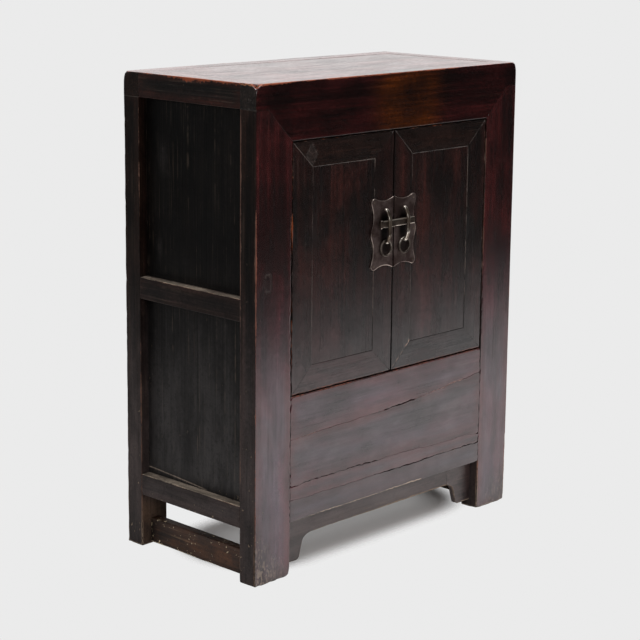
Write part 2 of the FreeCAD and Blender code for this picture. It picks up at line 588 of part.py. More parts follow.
def left_door_frame():
    """The left door's stiles, rails, panel and batten, drawn where they stand when it is closed."""
    x_out, x_in = -DOOR_OUTER, -DOOR_MEETING
    stile_out, stile_in = x_out + DOOR_STILE_WIDTH, x_in - DOOR_STILE_WIDTH
    rail_low, rail_high = DOOR_BOTTOM + DOOR_RAIL_WIDTH, DOOR_TOP - DOOR_RAIL_WIDTH
    body_y = (DOOR_FACE + DOOR_MITRE_DEPTH, DOOR_BACK)
    tongue_y = (DOOR_FACE + DOOR_PANEL_RECESS + DOOR_PANEL_THICKNESS - TONGUE_THICKNESS,
                DOOR_FACE + DOOR_PANEL_RECESS + DOOR_PANEL_THICKNESS)
    reach = GROOVE_DEPTH - PANEL_CLEARANCE
    panel_block = block((stile_out + PANEL_CLEARANCE, stile_in - PANEL_CLEARANCE),
                        (DOOR_FACE + DOOR_PANEL_RECESS, tongue_y[1]),
                        (rail_low + PANEL_CLEARANCE, rail_high - PANEL_CLEARANCE))
    tongue_block = block((stile_out - reach, stile_in + reach), tongue_y,
                         (rail_low - reach, rail_high + reach))
    groove = seat(tongue_block, PANEL_CLEARANCE)
    tenon_y = (tongue_y[1] + 2 * PANEL_CLEARANCE, DOOR_BACK - TENON_SHOULDER / 2)
    batten_middle = DOOR_MIDDLE - DOOR_BATTEN_BELOW_MIDDLE
    batten_z = (batten_middle - DOOR_BATTEN_HEIGHT / 2, batten_middle + DOOR_BATTEN_HEIGHT / 2)
    batten_y = (tongue_y[1], tongue_y[1] + DOOR_BATTEN_THICKNESS)
    batten_tenon_y = (batten_y[0] + 2 * PANEL_CLEARANCE, batten_y[1] - 2 * PANEL_CLEARANCE)

    def cross_tenons(y_limits, z_low, z_high):
        """Tenons at the two ends of a rail or batten, in the stiles."""
        z_limits = (z_low + TENON_SHOULDER, z_high - TENON_SHOULDER)
        return [block((stile_out - TENON_LENGTH, stile_out), y_limits, z_limits),
                block((stile_in, stile_in + TENON_LENGTH), y_limits, z_limits)]

    rail_tenons = {"bottom": cross_tenons(tenon_y, DOOR_BOTTOM, rail_low),
                   "top": cross_tenons(tenon_y, rail_high, DOOR_TOP)}
    batten_tenons = cross_tenons(batten_tenon_y, *batten_z)
    mortises = [grown(tenon, JOINT_CLEARANCE) for tenon in
                rail_tenons["bottom"] + rail_tenons["top"] + batten_tenons]

    hanging_outline = [(x_out, DOOR_BOTTOM), (stile_out, rail_low), (stile_out, rail_high), (x_out, DOOR_TOP)]
    pins = [Part.makeCylinder(PIVOT_RADIUS, PIVOT_LENGTH + DOOR_GAP, Vector(-PIVOT_X, PIVOT_Y, z_low))
            for z_low in (DOOR_BOTTOM - DOOR_GAP - PIVOT_LENGTH, DOOR_TOP)]
    hanging = door_member(hanging_outline, block((x_out, stile_out), body_y, (DOOR_BOTTOM, DOOR_TOP)), *pins)
    hanging = rounded_hinge_edge(hanging, x_out)
    meeting_outline = [(x_in, DOOR_BOTTOM), (stile_in, rail_low), (stile_in, rail_high), (x_in, DOOR_TOP)]
    meeting = door_member(meeting_outline, block((stile_in, x_in), body_y, (DOOR_BOTTOM, DOOR_TOP)))
    rails = {}
    for place, outer_z, inner_z in (("bottom", DOOR_BOTTOM, rail_low), ("top", DOOR_TOP, rail_high)):
        outline = [(x_out, outer_z), (stile_out, inner_z), (stile_in, inner_z), (x_in, outer_z)]
        body = block((stile_out, stile_in), body_y, (outer_z, inner_z))
        rail = door_member(outline, body, *(solid(tenon) for tenon in rail_tenons[place]))
        rails[place] = rounded_hinge_edge(rail.cut(groove), x_out)
    panel = fused(solid(panel_block), solid(tongue_block))
    batten = fused(solid(block((stile_out, stile_in), batten_y, batten_z)),
                   *(solid(tenon) for tenon in batten_tenons))
    return {"hanging_stile": without(hanging, [groove, *mortises]),
            "meeting_stile": without(meeting, [groove, *mortises]),
            "bottom_rail": rails["bottom"], "top_rail": rails["top"], "panel": panel, "batten": batten}


def rounded_hinge_edge(shape, x_edge):
    """A door piece with its front corner on the hinge side rounded, so that it clears the leg as it turns."""
    radius = HINGE_EDGE_RADIUS
    height = DOOR_TOP - DOOR_BOTTOM
    corner = solid(block((x_edge, x_edge + radius), (DOOR_FACE, DOOR_FACE + radius), (DOOR_BOTTOM, DOOR_TOP)))
    round_bar = Part.makeCylinder(radius, height, Vector(x_edge + radius, DOOR_FACE + radius, DOOR_BOTTOM))
    return shape.cut(corner.cut(round_bar))


def plate_outline():
    """The left half of the lock plate: a straight meeting edge, and scallops between its lobes."""
    half = PLATE_HEIGHT / 2
    edge = -DOOR_MEETING - PLATE_EDGE_GAP
    outer = edge - PLATE_REACH + PLATE_EDGE_GAP
    waist = outer + PLATE_SIDE_SCALLOP
    lobe = outer + PLATE_SIDE_SCALLOP / 3
    corner_x = outer + PLATE_CORNER
    corner_turn = PLATE_CORNER * (1 - math.sqrt(0.5))

    def at(x, z):
        return Vector(x, 0, PLATE_CENTRE_HEIGHT + z)

    upper_half = [
        Part.Arc(at(edge, half), at((edge + corner_x) / 2, half - PLATE_TOP_SCALLOP), at(corner_x, half)),
        Part.Arc(at(corner_x, half), at(outer + corner_turn, half - corner_turn),
                 at(outer, half - PLATE_CORNER)),
        Part.Arc(at(outer, half - PLATE_CORNER), at(waist, (half - PLATE_CORNER + PLATE_LOBE) / 2),
                 at(lobe, PLATE_LOBE)),
    ]
    middle = Part.Arc(at(lobe, PLATE_LOBE), at(outer, 0), at(lobe, -PLATE_LOBE))
    lower_half = [
        Part.Arc(at(lobe, -PLATE_LOBE), at(waist, -(half - PLATE_CORNER + PLATE_LOBE) / 2),
                 at(outer, -half + PLATE_CORNER)),
        Part.Arc(at(outer, -half + PLATE_CORNER), at(outer + corner_turn, -half + corner_turn),
                 at(corner_x, -half)),
        Part.Arc(at(corner_x, -half), at((edge + corner_x) / 2, -half + PLATE_TOP_SCALLOP), at(edge, -half)),
    ]
    closing = Part.LineSegment(at(edge, -half), at(edge, half))
    return Part.Wire([piece.toShape() for piece in [*upper_half, middle, *lower_half, closing]])


def nail_places():
    """Where the small nails of the left half plate go: near its corners and its middle lobe."""
    half = PLATE_HEIGHT / 2
    outer = -DOOR_MEETING - PLATE_REACH
    inset = PLATE_CORNER / 2 + NAIL_FROM_EDGE / 2
    near_corner = [(outer + inset, sign * (half - inset)) for sign in (1, -1)]
    return [*near_corner, (outer + NAIL_FROM_EDGE, 0.0)]


def handle(x):
    """A bail of round bar at X: an upright and two legs that go through the door and are clinched."""
    face_bar = DOOR_FACE - HANDLE_STANDOFF
    clinch_y = DOOR_BACK + HANDLE_RADIUS
    top, bottom = PLATE_CENTRE_HEIGHT + HANDLE_TOP, PLATE_CENTRE_HEIGHT + HANDLE_BOTTOM
    diagonal = math.sqrt(0.5)

    def at(y, z):
        return Vector(x, y, z)

    def corner(y, z, y_sign, z_sign, radius):
        """The middle of a quarter bend whose straight runs would meet at Y and Z."""
        return at(y + y_sign * radius * (1 - diagonal), z + z_sign * radius * (1 - diagonal))

    edges = []
    for z, turn in ((top, 1), (bottom, -1)):
        clinch = [Part.LineSegment(at(clinch_y, z + turn * (CLINCH_BEND + CLINCH_LENGTH)),
                                   at(clinch_y, z + turn * CLINCH_BEND)),
                  Part.Arc(at(clinch_y, z + turn * CLINCH_BEND), corner(clinch_y, z, -1, turn, CLINCH_BEND),
                           at(clinch_y - CLINCH_BEND, z)),
                  Part.LineSegment(at(clinch_y - CLINCH_BEND, z), at(face_bar + HANDLE_BEND, z)),
                  Part.Arc(at(face_bar + HANDLE_BEND, z), corner(face_bar, z, 1, -turn, HANDLE_BEND),
                           at(face_bar, z - turn * HANDLE_BEND))]
        edges.append(clinch)
    upright = Part.LineSegment(at(face_bar, top - HANDLE_BEND), at(face_bar, bottom + HANDLE_BEND))
    path = Part.Wire([piece.toShape() for piece in [*edges[0], upright, *reversed(edges[1])]])
    start = at(clinch_y, top + CLINCH_BEND + CLINCH_LENGTH)
    section = Part.Wire([Part.makeCircle(HANDLE_RADIUS, start, Vector(0, 0, 1))])
    return path.makePipeShell([section], True, True)


def handle_holes(x):
    """Round holes through the plate and the stile for a handle's two legs."""
    radius = HANDLE_RADIUS + JOINT_CLEARANCE
    length = DOOR_THICKNESS + 2 * PLATE_THICKNESS + CLINCH_BEND
    heights = [PLATE_CENTRE_HEIGHT + z for z in (HANDLE_TOP, HANDLE_BOTTOM)]
    return [Part.makeCylinder(radius, length, Vector(x, PLATE_FACE - PLATE_THICKNESS, z), Vector(0, 1, 0))
            for z in heights]


def clinch_grooves(x):
    """Channels in the back of the stile where a handle's clinched ends turn up and down."""
    reach = CLINCH_BEND + CLINCH_LENGTH + JOINT_CLEARANCE
    half = HANDLE_RADIUS + JOINT_CLEARANCE
    y_limits = (DOOR_BACK - CLINCH_BEND, DOOR_BACK)
    top, bottom = PLATE_CENTRE_HEIGHT + HANDLE_TOP, PLATE_CENTRE_HEIGHT + HANDLE_BOTTOM
    return [solid(block((x - half, x + half), y_limits, (top - half, top + reach))),
            solid(block((x - half, x + half), y_limits, (bottom - reach, bottom + half)))]


def hardware(name, x):
    """One door's plate, nails, handle and ring, drawn for the left door with the handle at X."""
    face = Part.Face(plate_outline())
    face.translate(Vector(0, PLATE_FACE, 0))
    plate = face.extrude(Vector(0, PLATE_THICKNESS, 0))
    nails, holes = [], []
    for nail_x, z in nail_places():
        place = Vector(nail_x, PLATE_FACE - NAIL_HEAD_HEIGHT, PLATE_CENTRE_HEIGHT + z)
        head = Part.makeCone(NAIL_HEAD_RADIUS / 2, NAIL_HEAD_RADIUS, NAIL_HEAD_HEIGHT, place, Vector(0, 1, 0))
        shank = Part.makeCylinder(NAIL_RADIUS, NAIL_LENGTH, place, Vector(0, 1, 0))
        hole = Part.makeCylinder(NAIL_RADIUS, NAIL_LENGTH, place, Vector(0, 1, 0))
        nails.append(fused(head, shank))
        holes.append(hole)
    plate = without(plate, handle_holes(x) + holes)
    ring_centre = Vector(x, RING_PIVOT_Y, RING_PIVOT_HEIGHT - RING_RADIUS)
    ring = Part.makeTorus(RING_RADIUS, RING_WIRE_RADIUS, ring_centre, Vector(0, 1, 0))
    return {f"lock_plate_{name}": plate, f"plate_nails_{name}": Part.makeCompound(nails),
            f"handle_{name}": handle(x), f"pull_ring_{name}": ring}, holes


def doors():
    """Both doors with their hardware; the right one is the left one mirrored, with its own handle place."""
    pieces = {}
    for name in ("left", "right"):
        x = -DOOR_MEETING - HANDLE_FROM_MEETING[name]
        metal, nail_holes = hardware(name, x)
        frame = left_door_frame()
        fixings = handle_holes(x) + clinch_grooves(x) + nail_holes
        for member in ("meeting_stile", "panel"):
            frame[member] = without(frame[member], fixings)
        wood = {f"door_{name}_{member}": shape for member, shape in frame.items()}
        for node, shape in {**wood, **metal}.items():
            pieces[node] = shape if name == "left" else mirrored(shape)
    return pieces


def lock_bolt():
    """The flat bar that slides behind both handles, with a head at its left end."""
    middle = PLATE_CENTRE_HEIGHT + BOLT_ABOVE_CENTRE
    y_limits = (BOLT_FRONT, BOLT_BACK)

    def bar(x0, x1, height):
        return solid(block((x0, x1), y_limits, (middle - height / 2, middle + height / 2)))

    head_end = BOLT_LEFT_END + BOLT_HEAD_LENGTH
    whole = fused(bar(BOLT_LEFT_END, head_end, BOLT_HEAD_HEIGHT),
                  bar(BOLT_LEFT_END, BOLT_RIGHT_END, BOLT_HEIGHT))
    long_edges = [edge for edge in whole.Edges
                  if abs(edge.tangentAt(edge.FirstParameter).x) > 0.9 and edge.Length > BOLT_HEAD_LENGTH * 2]
    return {"lock_bolt": whole.makeFillet(BOLT_EDGE_RADIUS, long_edges)}


def main():
    """Builds every piece and writes one file for each."""
    os.makedirs("parts", exist_ok=True)
    pieces = {**front_legs(), **pair("back_leg", back_leg()), "front_top_rail": front_top_rail(),
              "back_top_rail": back_top_rail(), **side_frames(), **back_frame(), **top_panel(),
              **lower_front(), **apron(), **inside(), **doors(), **lock_bolt()}
    for name, shape in pieces.items():
        shape.exportStep(f"parts/{name}.step")
        print(f"{name}: {len(shape.Solids)} solid, valid {shape.isValid()}, {shape.Volume / 1000:.1f} cm3")
    print(len(pieces), "pieces")


main()
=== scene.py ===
"""The lacquered cabinet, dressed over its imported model: worn boards, aged lacquer and patinated metal.

Metres throughout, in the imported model's own frame: X to the right along the front, Y to the back, Z up.
"""
import json
import math
from functools import partial

import bpy
import numpy as np
from mathutils import Matrix, Vector


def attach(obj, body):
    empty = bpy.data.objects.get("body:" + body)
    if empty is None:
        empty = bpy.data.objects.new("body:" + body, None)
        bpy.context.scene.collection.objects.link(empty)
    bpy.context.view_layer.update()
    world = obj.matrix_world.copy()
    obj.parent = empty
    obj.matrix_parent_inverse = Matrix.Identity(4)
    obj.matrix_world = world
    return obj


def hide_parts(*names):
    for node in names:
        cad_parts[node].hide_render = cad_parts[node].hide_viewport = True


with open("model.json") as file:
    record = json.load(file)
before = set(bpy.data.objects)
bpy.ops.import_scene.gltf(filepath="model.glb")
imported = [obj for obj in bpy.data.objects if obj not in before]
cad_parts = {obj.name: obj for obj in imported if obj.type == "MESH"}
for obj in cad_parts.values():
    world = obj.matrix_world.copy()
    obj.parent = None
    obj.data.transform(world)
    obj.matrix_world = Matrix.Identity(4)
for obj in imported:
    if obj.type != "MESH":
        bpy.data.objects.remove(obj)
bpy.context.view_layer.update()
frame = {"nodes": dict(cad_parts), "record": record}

# The faces of a block, each an axis and a sign, the axes that grain follows, and the two sides
LEFT, RIGHT, AHEAD, BEHIND, BELOW, ABOVE = ((axis, sign) for axis in range(3) for sign in (-1, 1))
ALONG_X, ALONG_Y, ALONG_Z = range(3)
SIDES = (("left", -1), ("right", 1))

# Planes and edges of the cabinet
HALF_WIDTH = 0.3325
FRONT, BACK = -0.1558, 0.1692
HEIGHT = 0.840
HALF_OPENING = 0.2505
OPENING_TOP = 0.743
LEG_TOP = 0.798
SILL_TOP = 0.313
FRONT_LEG_BACK = FRONT + 0.037
BACK_LEG_FRONT = BACK - 0.038
BACK_LEG_INNER = HALF_WIDTH - 0.057
SIDE_RAIL_INNER = HALF_WIDTH - 0.035
SIDE_PANEL_INNER = HALF_WIDTH - 0.027
SIDE_PANEL_OUTER = SIDE_PANEL_INNER + 0.010
BACK_RAIL_FRONT = BACK - 0.032
BACK_PANEL = (0.1472, 0.1572)
TOP_PANEL = (HEIGHT - 0.014, HEIGHT - 0.0002)
LOW_RAIL_LOW, LOW_RAIL_TOP = 0.095, 0.133
SIDE_RAIL_LOW, SIDE_RAIL_TOP = 0.449, 0.487
BACK_RAIL_LOW, BACK_RAIL_TOP = 0.275, 0.313
STRETCHER_INNER, STRETCHER_OUTER = 0.2925, 0.3125
STRETCHER_HEIGHTS = (0.003, 0.048)

# Front below the doors: depths, nominal heights, and the seams' heights at the left, middle and right
RAIL_BACK, BOARD_BACK = FRONT + 0.035, FRONT + 0.016
SILL_LOW, BOARD_LOW = 0.24, 0.157
SILL_SEAM = (0.239, 0.246, 0.267)
BOARD_SEAM = (0.157, 0.158, 0.150)
BOTTOM_RAIL_TOP, BOTTOM_RAIL_LOW = 0.131, 0.094
APRON_FRONT, APRON_BACK = FRONT + 0.018, FRONT + 0.028
APRON_LOW = BOTTOM_RAIL_LOW - 0.037

# Doors and their hardware
DOOR_FACE, DOOR_BACK = FRONT + 0.001, FRONT + 0.023
DOOR_PANEL = (DOOR_FACE + 0.0005, DOOR_FACE + 0.0105)
DOOR_GAP = 0.002
STILE_WIDTH, DOOR_RAIL_WIDTH = 0.048, 0.045
PLATE_MIDDLE = 0.564
PLATE_FACE = DOOR_FACE - 0.002
HANDLE_X = {"left": -0.021, "right": 0.027}
HANDLE_TOP, HANDLE_LOW = PLATE_MIDDLE + 0.041, PLATE_MIDDLE - 0.017
BAR_Y = DOOR_FACE - 0.012
BAR_HALF_WIDTH, BAR_HALF_DEPTH, BAR_SQUARENESS = 0.0034, 0.0021, 0.6
RING_RADIUS, RING_WIRE = 0.0136, 0.0019
RING_Y = PLATE_FACE - 0.0019
RING_MIDDLE = HANDLE_LOW + 0.0043 - RING_RADIUS

# Edges: their radii, how far from them they show, and how worn some are
SEAM_RADIUS, WORN_RADIUS, PLAIN_RADIUS, NICK_RADIUS = 0.0004, 0.0016, 0.0010, 0.004
WEAR_WIDTH, SEAM_WIDTH, RIM_WIDTH = 0.005, 0.004, 0.03
ROUND_WIDTH = 2 * WEAR_WIDTH
FAINT_WEAR, CRACK_WEAR = 0.9, 0.6
DENT_DEPTH, WAVE, RIPPLE = 0.0012, 0.00018, 0.00005

BODY_OF = {node: body for body, nodes in frame["record"]["behaviour"]["bodies"].items() for node in nodes}


def smooth_noise(points, cell, seed):
    """Value noise from -1 to 1: random numbers on a lattice, blended by t*t*(3-2t) along each axis."""
    table = np.random.default_rng(seed).uniform(-1, 1, 4096)
    grid = points / cell
    base = np.floor(grid).astype(np.int64)
    part = grid - base
    part = part * part * (3 - 2 * part)
    total = np.zeros(len(points))
    for corner in np.ndindex(2, 2, 2):
        at = base + corner
        key = (at[:, 0] * 73856093 ^ at[:, 1] * 19349663 ^ at[:, 2] * 83492791) % 4096
        total += np.prod(np.where(corner, part, 1 - part), axis=1) * table[key]
    return total


def hump(distance, power=2):
    """1 at no distance, falling off to 0 on both sides: exp(-|d|^power)."""
    return np.exp(-np.abs(distance) ** power)


def moved(points, axis, places):
    """The points with other places along one axis."""
    changed = points.copy()
    changed[:, axis] = places
    return changed


def stations(low, high, radius, step):
    """Places along one side of a block: crowded at its rounded ends, and a step apart between."""
    size = high - low
    near = np.array([0, 0.3, 0.6, 1.0, 1.6, 2.6]) * radius
    near = np.concatenate([near, [near[-1] + 0.002, near[-1] + 0.006]])
    near = near[near < size * 0.49]
    count = max(1, math.ceil((size - 2 * near[-1]) / step))
    between = np.linspace(near[-1], size - near[-1], count + 1)
    return low + np.concatenate([near[:-1], between, size - near[-2::-1]])


def block_shell(places):
    """The surface of a lattice of places along X, Y and Z: its outer points, and the quads between them."""
    counts = [len(along) for along in places]
    index = np.indices(counts)
    outer = np.any([(index[axis] == 0) | (index[axis] == counts[axis] - 1) for axis in range(3)], axis=0)
    number = np.full(counts, -1)
    number[outer] = np.arange(outer.sum())
    points = np.stack([np.asarray(places[axis])[index[axis][outer]] for axis in range(3)], axis=1)
    quads = []
    for axis in range(3):
        for end in (0, -1):
            sheet = np.take(number, end, axis=axis)
            ring = [sheet[:-1, :-1], sheet[1:, :-1], sheet[1:, 1:], sheet[:-1, 1:]]
            outward = (end == -1) != (axis == 1)
            quads.append(np.stack(ring if outward else ring[::-1], axis=-1).reshape(-1, 4))
    return points, np.concatenate(quads)


def edge_nearness(points, low, high, edges, width):
    """1 on the named edges of a block, falling to 0 at a width from them.

    An edge is two faces in the order of their axes and, where only a run of it counts, that run's two ends.
    """
    nearness = np.zeros(len(points))
    for (axis_a, sign_a), (axis_b, sign_b), *run in edges:
        from_a = points[:, axis_a] - (high if sign_a > 0 else low)[axis_a]
        from_b = points[:, axis_b] - (high if sign_b > 0 else low)[axis_b]
        near = 1 - np.hypot(from_a, from_b) / width
        if run:
            along = points[:, 3 - axis_a - axis_b]
            near *= (along >= run[0][0]) & (along <= run[0][1])
        nearness = np.maximum(nearness, near)
    return np.clip(nearness, 0, 1)


FINISH_ALL_OVER = {}
ALL_EDGES = [((a, sa), (b, sb)) for a, b in ((0, 1), (1, 2), (0, 2)) for sa in (-1, 1) for sb in (-1, 1)]


def new_object(name, points, quads, materials, attributes=None):
    """A smooth mesh object from arrays of points and quads, with named point attributes."""
    mesh = bpy.data.meshes.new(name)
    mesh.vertices.add(len(points))
    mesh.vertices.foreach_set("co", np.asarray(points, np.float32).ravel())
    mesh.loops.add(quads.size)
    mesh.loops.foreach_set("vertex_index", quads.astype(np.int32).ravel())
    mesh.polygons.add(len(quads))
    mesh.polygons.foreach_set("loop_start", np.arange(0, quads.size, 4, dtype=np.int32))
    mesh.polygons.foreach_set("use_smooth", np.ones(len(quads), bool))
    mesh.update(calc_edges=True)
    for label, values in (attributes or {}).items():
        kind, field = ("FLOAT_VECTOR", "vector") if values.ndim == 2 else ("FLOAT", "value")
        layer = mesh.attributes.new(label, kind, "POINT")
        layer.data.foreach_set(field, values.astype(np.float32).ravel())
    for material in materials:
        mesh.materials.append(material)
    obj = bpy.data.objects.new(name, mesh)
    bpy.context.scene.collection.objects.link(obj)
    return obj


def stand_for(obj, node):
    """The piece shows in place of a node and moves with its body."""
    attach(obj, BODY_OF[node])
    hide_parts(node)


def board(node, x, y, z, grain, finish, other_finishes=FINISH_ALL_OVER, worn=(), faint=(), plain=(), flush=(),
          cracks=(), chips=(), dents=None, stain=None, warp=None, line=1.0, rub=1.0, reach=WEAR_WIDTH,
          radius=SEAM_RADIUS, step=0.008, rows=(), turn=0.7):
    """A worn board in place of a node, in one finish or with others on some faces.

    Those are the faces whose normal's part along the given (axis, sign) is over the turn.

    A block's points p are drawn in to q, the nearest point of the block less a radius r, and pushed out
    again to q + r (p - q) / |p - q|, which rounds its edges. r grows on worn and plain edges, along cracks,
    given as (edge, size), and at chips, given as (place, size, spread), and varies with noise. Dents, a
    function of the place, sink the surface by noise. A warp then moves the points, as for a mitre. Points
    stand a step apart, and at the rows, which are heights. The grain attribute is (along, across, through)
    the board; wear, seam and rim say how near the worn edges, the joints and any edge are, with rub as the
    wear's strength on worn edges and reach as its width, and less of it on faint ones. The line is the
    joints' strength, and flush edges show no joint. Stain is a function of the place.
    """
    low, high = (np.array(ends) for ends in zip(sorted(x), sorted(y), sorted(z)))
    seed = sum(map(ord, node))
    places = [stations(low[axis], high[axis], WORN_RADIUS, step) for axis in range(3)]
    if len(rows):
        places[2] = np.unique(np.concatenate([places[2], rows]))
    points, quads = block_shell(places)

    def near(edges, width):
        return edge_nearness(points, low, high, edges, width)

    def wander(cell, number):
        return smooth_noise(points, cell, seed + number)

    free = [(edge[0], edge[1]) for edge in (*worn, *faint, *plain, *flush)]
    joints = [edge for edge in ALL_EDGES if edge not in free]
    opened = [edge for edge, size in cracks]
    wear = np.max([rub * near(worn, reach), FAINT_WEAR * near(faint, WEAR_WIDTH),
                   CRACK_WEAR * near(opened, WEAR_WIDTH)], axis=0)
    seam = np.maximum(line * near(joints, SEAM_WIDTH), near(opened, 1.5 * SEAM_WIDTH))
    rim = near(ALL_EDGES, RIM_WIDTH)
    on_worn = near(worn, ROUND_WIDTH)
    r = radius * (1 + 0.5 * wander(0.03, 0))
    r *= 1 - 0.8 * near(flush, ROUND_WIDTH)
    r += PLAIN_RADIUS * near(plain, ROUND_WIDTH)
    r += on_worn * WORN_RADIUS * (0.7 + 0.5 * wander(0.021, 1))
    r += on_worn * NICK_RADIUS * np.clip(wander(0.009, 2) - 0.40, 0, 1)
    if cracks:
        gape = np.clip(0.5 + 0.6 * wander(0.025, 4) + 0.8 * wander(0.006, 5), 0, 1.5)
    for edge, size in cracks:
        r += size * gape * near([edge], ROUND_WIDTH)
    for place, size, spread in chips:
        r += size * np.exp(-np.sum((points - place) ** 2, axis=1) / spread ** 2)
    r = np.minimum(r, (high - low).min() * 0.45)[:, None]
    inner = np.clip(points, low + r, high - r)
    away = points - inner
    away /= np.maximum(np.linalg.norm(away, axis=1, keepdims=True), 1e-9)
    wave = WAVE * wander(0.06, 3) + RIPPLE * wander(0.02, 6)
    if dents:
        wave -= DENT_DEPTH * dents(points) * np.clip(0.3 + wander(0.009, 7), 0, 1)
    shaped = np.clip(inner + r * away + away * wave[:, None], low, high)
    if warp:
        shaped = warp(shaped)
    order = [grain] + [axis for axis in range(3) if axis != grain]
    fibre = shaped[:, order] + np.random.default_rng(seed).uniform(-3, 3, 3)
    marks = stain(shaped) if stain else np.zeros(len(shaped))
    obj = new_object(f"{node}_board", shaped, quads, [finish, *other_finishes.values()],
                     {"grain": fibre, "wear": wear, "seam": seam, "rim": rim, "stain": marks})
    facing = np.zeros(len(quads) * 3, np.float32)
    obj.data.polygons.foreach_get("normal", facing)
    facing = facing.reshape(-1, 3)
    index = np.zeros(len(quads), np.int32)
    for number, (axis, sign) in enumerate(other_finishes, start=1):
        index[facing[:, axis] * sign > turn] = number
    obj.data.polygons.foreach_set("material_index", index)
    stand_for(obj, node)


# Materials

# No light at all, and the dark of dirt and painted shadow on metal
NO_COLOUR = (0, 0, 0, 1)
GREASE_AND_SHADOW = (0.006, 0.004, 0.0035, 1)


def add(tree, kind, inputs=(), **settings):
    """A shader node with its settings, and its inputs given as values or as other nodes' outputs."""
    made = tree.nodes.new(kind)
    for label, value in settings.items():
        setattr(made, label, value)
    for label, value in dict(inputs).items():
        if isinstance(value, bpy.types.NodeSocket):
            tree.links.new(value, made.inputs[label])
        else:
            made.inputs[label].default_value = value
    return made


def calc(tree, operation, *values, clamp=False):
    """A Math node's value."""
    inputs = dict(enumerate(values))
    return add(tree, "ShaderNodeMath", inputs, operation=operation, use_clamp=clamp).outputs[0]


def chain(tree, operation, *values):
    """The sum or product of any number of values."""
    total = values[0]
    for value in values[1:]:
        total = calc(tree, operation, total, value)
    return total


def vector_calc(tree, operation, *values):
    """A Vector Math node's outputs."""
    return add(tree, "ShaderNodeVectorMath", dict(enumerate(values)), operation=operation).outputs


def blend(tree, share, first, second, kind="MIX"):
    """The first colour with a share of the second over it."""
    inputs = {0: share, 6: first, 7: second}
    return add(tree, "ShaderNodeMix", inputs, data_type="RGBA", blend_type=kind).outputs[2]


def rise(tree, value, start, end, low=0.0, high=1.0):
    """A smooth step of a value from one level to another."""
    inputs = dict(enumerate((value, start, end, low, high)))
    return add(tree, "ShaderNodeMapRange", inputs, interpolation_type="SMOOTHSTEP").outputs[0]


def noise(tree, vector, scale, detail, roughness, stretch=(1, 1, 1), distortion=0.0):
    """Noise over a place, stretched along its axes."""
    place = add(tree, "ShaderNodeMapping", {"Vector": vector, "Scale": stretch}).outputs[0]
    return add(tree, "ShaderNodeTexNoise", {"Vector": place, "Scale": scale, "Detail": detail,
                                            "Roughness": roughness, "Distortion": distortion}).outputs[0]


def new_group(name, inputs, outputs):
    """A shader node group with its sockets, given as (name, kind, value)."""
    group = bpy.data.node_groups.new(name, "ShaderNodeTree")
    for label, kind, value in inputs:
        socket = group.interface.new_socket(label, in_out="INPUT", socket_type=f"NodeSocket{kind}")
        if value is not None:
            socket.default_value = value
    for label, kind in outputs:
        group.interface.new_socket(label, in_out="OUTPUT", socket_type=f"NodeSocket{kind}")
    return group, group.nodes.new("NodeGroupInput").outputs, group.nodes.new("NodeGroupOutput").inputs


